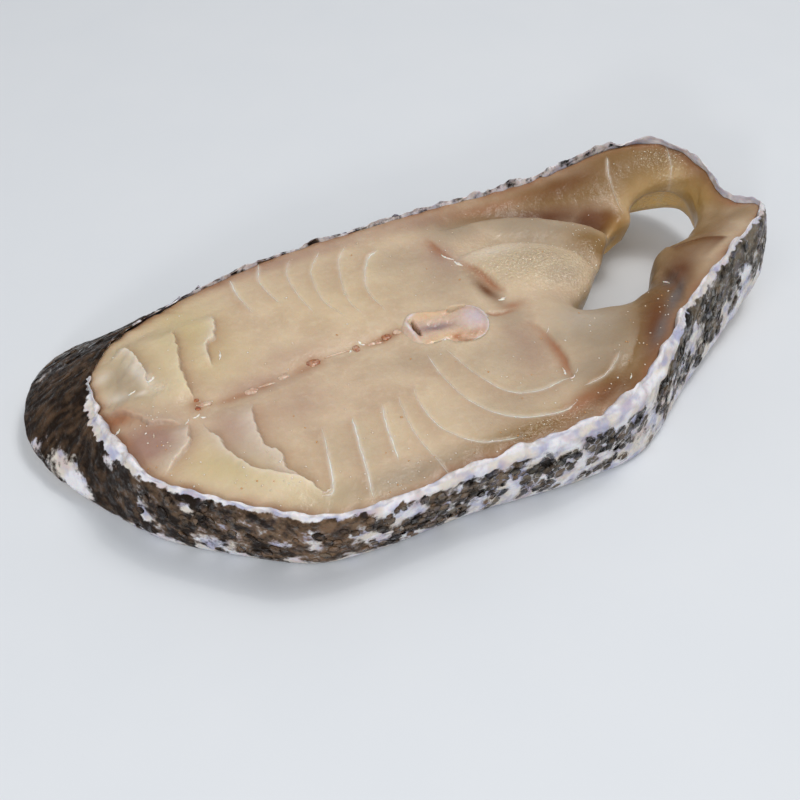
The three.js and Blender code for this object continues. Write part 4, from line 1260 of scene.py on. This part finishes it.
def scales(rows, material):
    """Scales on the darker parts of the skin."""
    rng = np.random.default_rng(SCALE_SEED)
    places = scale_places(rng)
    s0, up0, _, long = places[:, :4].T
    column = places[:, 4].astype(int)
    middle, _ = on_skin(rows, s0, (up0 + long / 2) * (SKIN_ROWS - 1) / SKIN["tall"][column])
    shown = darkness(column, up0 + long / 2) + SCALE_SPREAD * rough(middle, SCALE_MOTTLE[0], 44) > 0
    places = places[shown]
    s0, up0, wide, long = places[:, :4].T
    column = places[:, 4].astype(int)
    count = len(places)
    lift = SCALE_LIFT * rng.uniform(*SCALE_LIFTS, count)
    turn = rng.normal(0, SCALE_TURN, count)[:, None]
    shape = np.array(SCALE_POINTS)
    across, length = shape[:, 0] * wide[:, None], shape[:, 1] * long[:, None]
    s = s0[:, None] + (across * np.cos(turn) - length * np.sin(turn)) / SKIN_COLUMN
    up = up0[:, None] + length * np.cos(turn) + across * np.sin(turn)
    base, out = on_skin(rows, s, up * (SKIN_ROWS - 1) / SKIN["tall"][column][:, None])
    points = base + out * (SCALE_STAND + shape[:, 2] * lift[:, None])[..., None]
    each = len(shape)
    template = SCALE_FACES + [SCALE_EDGE]
    faces = [tuple(v + n * each for v in face) for n in range(count) for face in template]
    thing = make_piece("scales", points.reshape(-1, 3), faces, material, "skin")
    ground = darkness(column[:, None] + 0 * up.astype(int), up)
    ground = ground - SCALY_PALE * SKIN["scaly_share"][column][:, None]
    size, more, brown_varied, light_varied = SCALE_MOTTLE
    brown = SKIN["brown_share"][column] + rng.normal(0, brown_varied, count)
    light = SKIN["light_share"][column] - 0.5 + more * rough(base[:, 0], size, 43)
    light = light + rng.normal(0, light_varied, count)
    mark(thing, {
        "dark": (ground + SCALE_DARK * shape[:, 3]).ravel(),
        "brown": np.repeat(np.clip(brown, 0, 1), each),
        "light": np.repeat(light, each), "mottled": np.ones(count * each)})


# Bone and middle line

def vertebra(tree, material):
    """The cut end of the vertebra, spread over the edge of the muscle, and what is below it."""
    loop = curved(BONE_OUTLINE + BONE_OUTLINE[:1], SPINE_STEP)
    angle = np.linspace(-math.pi, math.pi, BONE_AROUND, endpoint=False)
    reach = round_values(np.arctan2(loop[:, 1], loop[:, 0]), np.hypot(*loop.T), angle)
    edge = reach[:, None] * headings(angle)
    lip = np.array([max(surface_height(tree, x, y), BONE_LEVEL) for x, y in edge])
    lip = softened(lip, BONE_SOFT) - BONE_SINK + WAIST_RISE * tint(edge, [BONE_WAIST])
    share = np.arange(BONE_RINGS, 0, -1) / BONE_RINGS
    plan = (share[:, None, None] * edge).reshape(-1, 2)
    inside = ((1 - share)[:, None] * reach).ravel()
    flat = flattened(plan)
    size, ragged = CANAL_RAGGED
    slit = smooth(*CANAL_EDGE, patch(plan, CANAL) + ragged * rough(flat, size, 53))
    rise = sum(height * patch(plan, place) for *place, height in BONE_SHAPES) - CANAL_DEEP * slit
    high, away, wide = BONE_RIDGE
    ridge = high * bell(inside - away, wide)
    bent, middle = RIDGE_BENT
    ridge = ridge * smooth(*RIDGE_FROM, plan[:, 1] + bent * np.abs(plan[:, 0] - middle))
    rise += waves(flat, BONE_SWELLS, 51) + ridge
    top = np.tile(lip, BONE_RINGS)
    brink = BRINK_RISE * smooth(*BRINK_FROM, plan[:, 1]) * smooth(0, BRINK_SOFT, inside)
    crown = np.mean(lip) + BONE_RISE - BRINK_RISE + rise
    top += brink + (crown - top) * smooth(*CROWN_FROM, inside)
    neck = BONE_NECK * edge
    rings = [np.column_stack([neck, np.full(BONE_AROUND, BONE_LOW[2])]),
             np.column_stack([neck, lip - NECK_DROP]),
             np.column_stack([UNDER_SHARE * edge, lip - UNDER_DROP])]
    rings += list(np.column_stack([plan, top]).reshape(BONE_RINGS, BONE_AROUND, 3))
    points, faces = loft(np.array(rings))
    thing = make_piece("vertebra", points, faces, material, "bone", "backbone")
    tints = {name: tint(points, patches) for name, (_, patches) in BONE_TINTS.items()}
    below = np.zeros(len(points) - len(plan))
    inside, slit = (np.concatenate([below, values]) for values in (inside, slit))
    strength, away, wide = WHITE_LINE
    white = strength * bell(inside - away, wide) * smooth(*WHITE_FROM, points[:, 0])
    tints["white"] = np.maximum(tints["white"], white)
    mark(thing, tints | {"canal": slit, "side": bell(inside, BONE_SIDE)})


def bead(tree, at, size, seed):
    bm = bmesh.new()
    bmesh.ops.create_icosphere(bm, subdivisions=3, radius=1.0)
    unit = np.array([v.co for v in bm.verts])
    faces = [tuple(v.index for v in face.verts) for face in bm.faces]
    bm.free()
    (long, high), (short, low) = BEAD_SWELLS
    swell = 1 + high * rough(unit * size, long, seed) + low * rough(unit * size, short, seed + 1)
    z = surface_height(tree, *at) + BEAD_STAND * size[2]
    return unit * np.array(size) * swell[:, None] + np.array([*at, z]), faces


def middle_line(tree, material):
    """Beads and a thin spine along the middle of the steak."""
    parts, red = [], []
    for number, (at, size, redness) in enumerate(BEADS):
        parts.append(bead(tree, at, size, 60 + 2 * number))
        red.append(np.full(len(parts[-1][0]), redness))
    line = curved(SPINE, SPINE_STEP)
    tips, middle = SPINE_SHARES
    half = SPINE_RADIUS * (tips + middle * np.sin(np.linspace(0, math.pi, len(line))))
    parts.append(strip(tree, line, half, SPINE_RADIUS))
    red.append(np.zeros(len(parts[-1][0])))
    thing = make_piece("middle_line", *joined(parts), material, "bone")
    mark(thing, {"red": np.concatenate(red)})


# Materials

class Shader:
    """A node material around one surface shader."""

    def __init__(self, name, **values):
        self.material = bpy.data.materials.new(name)
        self.material.use_nodes = True
        self.tree = self.material.node_tree
        self.surface = self.tree.nodes["Principled BSDF"]
        for socket, value in values.items():
            self.surface.inputs[socket.replace("_", " ")].default_value = value
        self.place = self.add("ShaderNodeTexCoord").outputs["Object"]

    def add(self, kind, **inputs):
        node = self.tree.nodes.new(kind)
        for socket, value in inputs.items():
            self.put(node.inputs[socket.replace("_", " ")], value)
        return node

    def put(self, socket, value):
        if isinstance(value, bpy.types.NodeSocket):
            self.tree.links.new(value, socket)
        else:
            socket.default_value = value

    def mask(self, name, share=1.0):
        """A mask of the piece's points, weakened to a share."""
        node = self.add("ShaderNodeAttribute")
        node.attribute_name = name
        fac = node.outputs["Fac"]
        return self.math("MULTIPLY", fac, share) if share != 1.0 else fac

    def grain(self, size, detail=2.0, roughness=0.5):
        """Noise with features of about the given size in millimetres."""
        node = self.add("ShaderNodeTexNoise", Vector=self.place, Scale=1 / (size * MM),
                        Detail=detail, Roughness=roughness)
        return node.outputs["Fac"]

    def span(self, value, low, high, to_low=0.0, to_high=1.0):
        """A value mapped softly from one span to another."""
        node = self.add("ShaderNodeMapRange", Value=value, From_Min=low, From_Max=high,
                        To_Min=to_low, To_Max=to_high)
        node.interpolation_type = "SMOOTHSTEP"
        return node.outputs["Result"]

    def spots(self, size, low, high, to_low=0.0, to_high=1.0, detail=2.0, roughness=0.5):
        """Grain mapped to a span."""
        return self.span(self.grain(size, detail, roughness), low, high, to_low, to_high)

    def math(self, operation, a, b):
        node = self.add("ShaderNodeMath")
        node.operation = operation
        self.put(node.inputs[0], a)
        self.put(node.inputs[1], b)
        return node.outputs["Value"]

    def mix(self, share, a, b):
        """A blend of two colours; display colours are given as they are."""
        node = self.add("ShaderNodeMix")
        node.data_type = "RGBA"
        for number, value in ((0, share), (6, a), (7, b)):
            self.put(node.inputs[number], linear(*value) if isinstance(value, tuple) else value)
        return node.outputs[2]

    def over(self, color, name, shown, share=1.0):
        """A colour with another over it where a mask is."""
        return self.mix(self.mask(name, share), color, shown)

    def bump(self, height, distance, strength=1.0, under=None):
        node = self.add("ShaderNodeBump", Height=height, Strength=strength, Distance=distance * MM)
        if under:
            self.put(node.inputs["Normal"], under)
        return node.outputs["Normal"]

    def done(self, color, roughness, normal=None):
        self.put(self.surface.inputs["Base Color"], color)
        self.put(self.surface.inputs["Roughness"], roughness)
        if normal:
            self.put(self.surface.inputs["Normal"], normal)
            self.put(self.surface.inputs["Coat Normal"], normal)
        return self.material


def muscle_material():
    s = Shader("moist_muscle", Subsurface_Weight=0.35, Subsurface_Scale=0.0025,
               Subsurface_Radius=(1.0, 0.55, 0.3), Coat_Roughness=0.07, Specular_IOR_Level=0.25)
    color = s.mix(s.spots(16, 0.35, 0.65), (212, 189, 160), (199, 174, 147))
    color = s.mix(s.spots(2.2, 0.45, 0.75, 0, 0.3, 3.0), color, (226, 208, 182))
    # Cream colour with painted light behind broken edges and septa.
    color = s.over(color, "cream_and_painted_light", CREAM_AND_PAINTED_LIGHT, 0.7)
    # Tints of the muscle: the umber one is painted shadow, and the amber one is partly painted
    # shade.
    for name in ("honey", "rose", "dusk", "amber", "umber_shadow", "grey"):
        color = s.over(color, name, TINTS[name][0])
    # Painted shade before broken edges and septa, in amber where the muscle is amber.
    painted_shade = s.over(PAINTED_SHADE, "amber", TINTS["amber"][0])
    color = s.mix(s.mask("painted_shade", 0.75), color, painted_shade)
    # Painted light on the cavity's shaded wall.
    color = s.over(color, "wall", WALL_PAINTED_LIGHT, 0.5)
    # Painted light on the belly flap's shaded inner side.
    color = s.over(color, "flap", FLAP_WALL_PAINTED_LIGHT)
    # Brown line along the skin, partly painted shade.
    color = s.over(color, "edge", EDGE_BROWN_AND_SHADE[1], 0.85)
    for name in ("blood", "pale"):
        color = s.over(color, name, TINTS[name][0], 0.85)
    # Painted glints: pale speckles over the wet patches.
    painted_glints = s.math("MULTIPLY", s.mask("wet"), s.spots(1.1, 0.55, 0.7, 0, 0.5))
    color = s.mix(painted_glints, color, (232, 216, 184))
    s.put(s.surface.inputs["Coat Weight"], s.span(s.mask("wet"), 0, 1, 0.1, 0.7))
    relief = s.bump(s.grain(0.9, 3.0), 0.12)
    relief = s.bump(s.grain(3.0), 0.25, under=relief)
    relief = s.bump(s.grain(1.0), 0.9, s.mask("wet"), relief)
    return s.done(color, s.spots(6, 0.3, 0.7, 0.32, 0.44), relief)


def tissue_material():
    s = Shader("white_tissue", Subsurface_Weight=0.3, Subsurface_Scale=0.001, Coat_Weight=0.3,
               Coat_Roughness=0.15)
    color = s.mix(s.spots(3, 0.4, 0.65), (242, 235, 228), (222, 207, 192))
    return s.done(color, s.spots(1.5, 0.3, 0.7, 0.25, 0.45), s.bump(s.grain(0.6), 0.08))


def speck_material():
    s = Shader("crumbs", Coat_Weight=0.3, Coat_Roughness=0.1)
    color = s.mix(s.spots(4, 0.4, 0.6), (246, 238, 226), (232, 214, 190))
    color = s.over(color, "orange", (214, 160, 104))
    # Pale drops: painted glints.
    color = s.over(color, "glint_drop", (240, 232, 214))
    return s.done(color, s.spots(1.0, 0.3, 0.7, 0.15, 0.4))


def skin_colors(s):
    """Colour of the skin: pale and dark parts with a ragged border between them."""
    pale = s.mix(s.spots(9, 0.42, 0.6), (232, 230, 233), (218, 209, 198))
    pale = s.mix(s.spots(5.5, 0.42, 0.7, 0, 0.75), pale, (156, 158, 192))
    pale = s.mix(s.spots(8.0, 0.54, 0.68, 0, 0.45), pale, (198, 174, 178))
    rim = s.mix(s.spots(4, 0.42, 0.65), (232, 228, 230), (199, 191, 188))
    rim = s.mix(s.spots(6.0, 0.42, 0.66, 0, 0.6), rim, (166, 166, 190))
    tone = s.spots(5.0, 0.36, 0.66, detail=4.0, roughness=0.6)
    tone = s.math("MULTIPLY", tone, s.mask("mottled"))
    tone = s.math("ADD", tone, s.mask("light"))
    brown = s.mix(tone, (35, 25, 18), (118, 92, 70))
    slate = s.mix(tone, (28, 28, 27), (118, 112, 98))
    slate = s.mix(s.spots(4.5, 0.54, 0.66, 0, 0.5), slate, (104, 106, 124))
    pattern = s.math("ADD", s.math("MULTIPLY", s.grain(5.0, 5.0, 0.65), 1.1),
                     s.math("MULTIPLY", s.grain(1.8, 3.0), 0.4))
    cover = s.span(s.math("SUBTRACT", s.mask("dark"), pattern), -0.88, -0.62)
    wet = s.math("MULTIPLY", s.mask("mottled"), s.spots(2.4, 0.52, 0.66, 0.0, 0.9))
    s.put(s.surface.inputs["Coat Weight"], wet)
    return s.mix(cover, s.mix(s.mask("cut"), pale, rim), s.mix(s.mask("brown"), slate, brown))


def skin_material():
    s = Shader("wet_skin", Subsurface_Weight=0.1, Subsurface_Scale=0.0015, Coat_Roughness=0.08,
               Specular_IOR_Level=0.06)
    relief = s.bump(s.grain(0.8, 3.0), 0.1)
    relief = s.bump(s.grain(2.6), 0.5, under=relief)
    return s.done(skin_colors(s), s.spots(1.4, 0.3, 0.7, 0.25, 0.55, 3.0), relief)


def scale_material():
    s = Shader("wet_scales", Coat_Roughness=0.08, Specular_IOR_Level=0.06)
    return s.done(skin_colors(s), s.spots(1.2, 0.3, 0.7, 0.2, 0.45), s.bump(s.grain(0.5), 0.08))


def bone_material():
    s = Shader("moist_bone", Subsurface_Weight=0.35, Subsurface_Scale=0.002, Coat_Weight=0.15,
               Coat_Roughness=0.1, Specular_IOR_Level=0.35)
    color = s.mix(s.spots(5, 0.35, 0.65), (214, 188, 166), (202, 172, 150))
    for name, (shown, _) in BONE_TINTS.items():
        color = s.over(color, name, shown)
    color = s.over(color, "side", (198, 174, 152), 0.7)
    return s.done(color, s.spots(3, 0.3, 0.7, 0.2, 0.42), s.bump(s.grain(1.2, 3.0), 0.2))


def marrow_material():
    s = Shader("marrow", Subsurface_Weight=0.3, Subsurface_Scale=0.0015, Coat_Weight=0.4,
               Coat_Roughness=0.12)
    pale = s.mix(s.spots(1.2, 0.35, 0.65, detail=3.0), (216, 190, 166), (196, 160, 136))
    dark = s.mix(s.spots(0.9, 0.4, 0.6), (178, 112, 66), (138, 76, 48))
    patchy = s.math("ADD", s.mask("red"), s.spots(1.5, 0.3, 0.7, -0.25, 0.25))
    color = s.mix(s.span(patchy, 0.2, 0.9), pale, dark)
    return s.done(color, s.spots(1.0, 0.3, 0.7, 0.2, 0.45), s.bump(s.grain(0.7), 0.15))


# Set

def floor():
    mesh = bpy.data.meshes.new("floor")
    corners = [(-FLOOR, -FLOOR, 0), (FLOOR, -FLOOR, 0), (FLOOR, FLOOR, 0), (-FLOOR, FLOOR, 0)]
    mesh.from_pydata(corners, [], [(0, 1, 2, 3)])
    s = Shader("pale_floor", Specular_IOR_Level=0.1)
    color = s.mix(s.grain(40), (222, 226, 231), (226, 229, 233))
    mesh.materials.append(s.done(color, s.spots(20, 0.3, 0.7, 0.5, 0.6)))
    thing = stand("floor", mesh)


def light(name, away, size, power, color):
    """A soft light placed to the right of, beyond and above the steak as the camera sees it."""
    lamp = bpy.data.lights.new(name, "AREA")
    lamp.size = size
    lamp.energy = power
    lamp.color = color
    thing = stand(name, lamp)
    turn = math.radians(CAMERA_AZIMUTH)
    right = Vector((math.cos(turn), math.sin(turn), 0))
    beyond = Vector((-math.sin(turn), math.cos(turn), 0))
    thing.location = away[0] * right + away[1] * beyond + Vector((0, 0, away[2]))
    thing.rotation_euler = thing.location.to_track_quat("Z", "Y").to_euler()


def studio():
    world = bpy.data.worlds.new("studio")
    world.use_nodes = True
    sky = world.node_tree.nodes["Background"]
    sky.inputs["Color"].default_value = SKY_COLOR
    sky.inputs["Strength"].default_value = SKY
    bpy.context.scene.world = world
    for lamp in LIGHTS:
        light(*lamp)
    bpy.context.scene.view_settings.view_transform = "Standard"


def camera():
    lens = bpy.data.cameras.new("camera")
    lens.lens = LENS
    lens.sensor_width = SENSOR
    thing = stand("camera", lens)
    turn, tilt = math.radians(CAMERA_AZIMUTH), math.radians(CAMERA_ELEVATION)
    level = math.cos(tilt)
    back = Vector((math.sin(turn) * level, -math.cos(turn) * level, math.sin(tilt)))
    thing.location = Vector((TARGET + ORIGIN) * MM) + back * CAMERA_DISTANCE * MM
    thing.rotation_euler = back.to_track_quat("Z", "Y").to_euler()
    bpy.context.scene.camera = thing


camera()
studio()
floor()
for feature in FLAKES + SEPTA + FOLDS + SOLID_GROOVES:
    feature["line"] = curved(feature["path"], LINE_STEP)
SKIN = skin_profile()
ground = muscle(muscle_material())
septa(ground, tissue_material())
skin_rows = skin(skin_material())
scales(skin_rows, scale_material())
vertebra(ground, bone_material())
middle_line(ground, marrow_material())
specks(ground, speck_material())
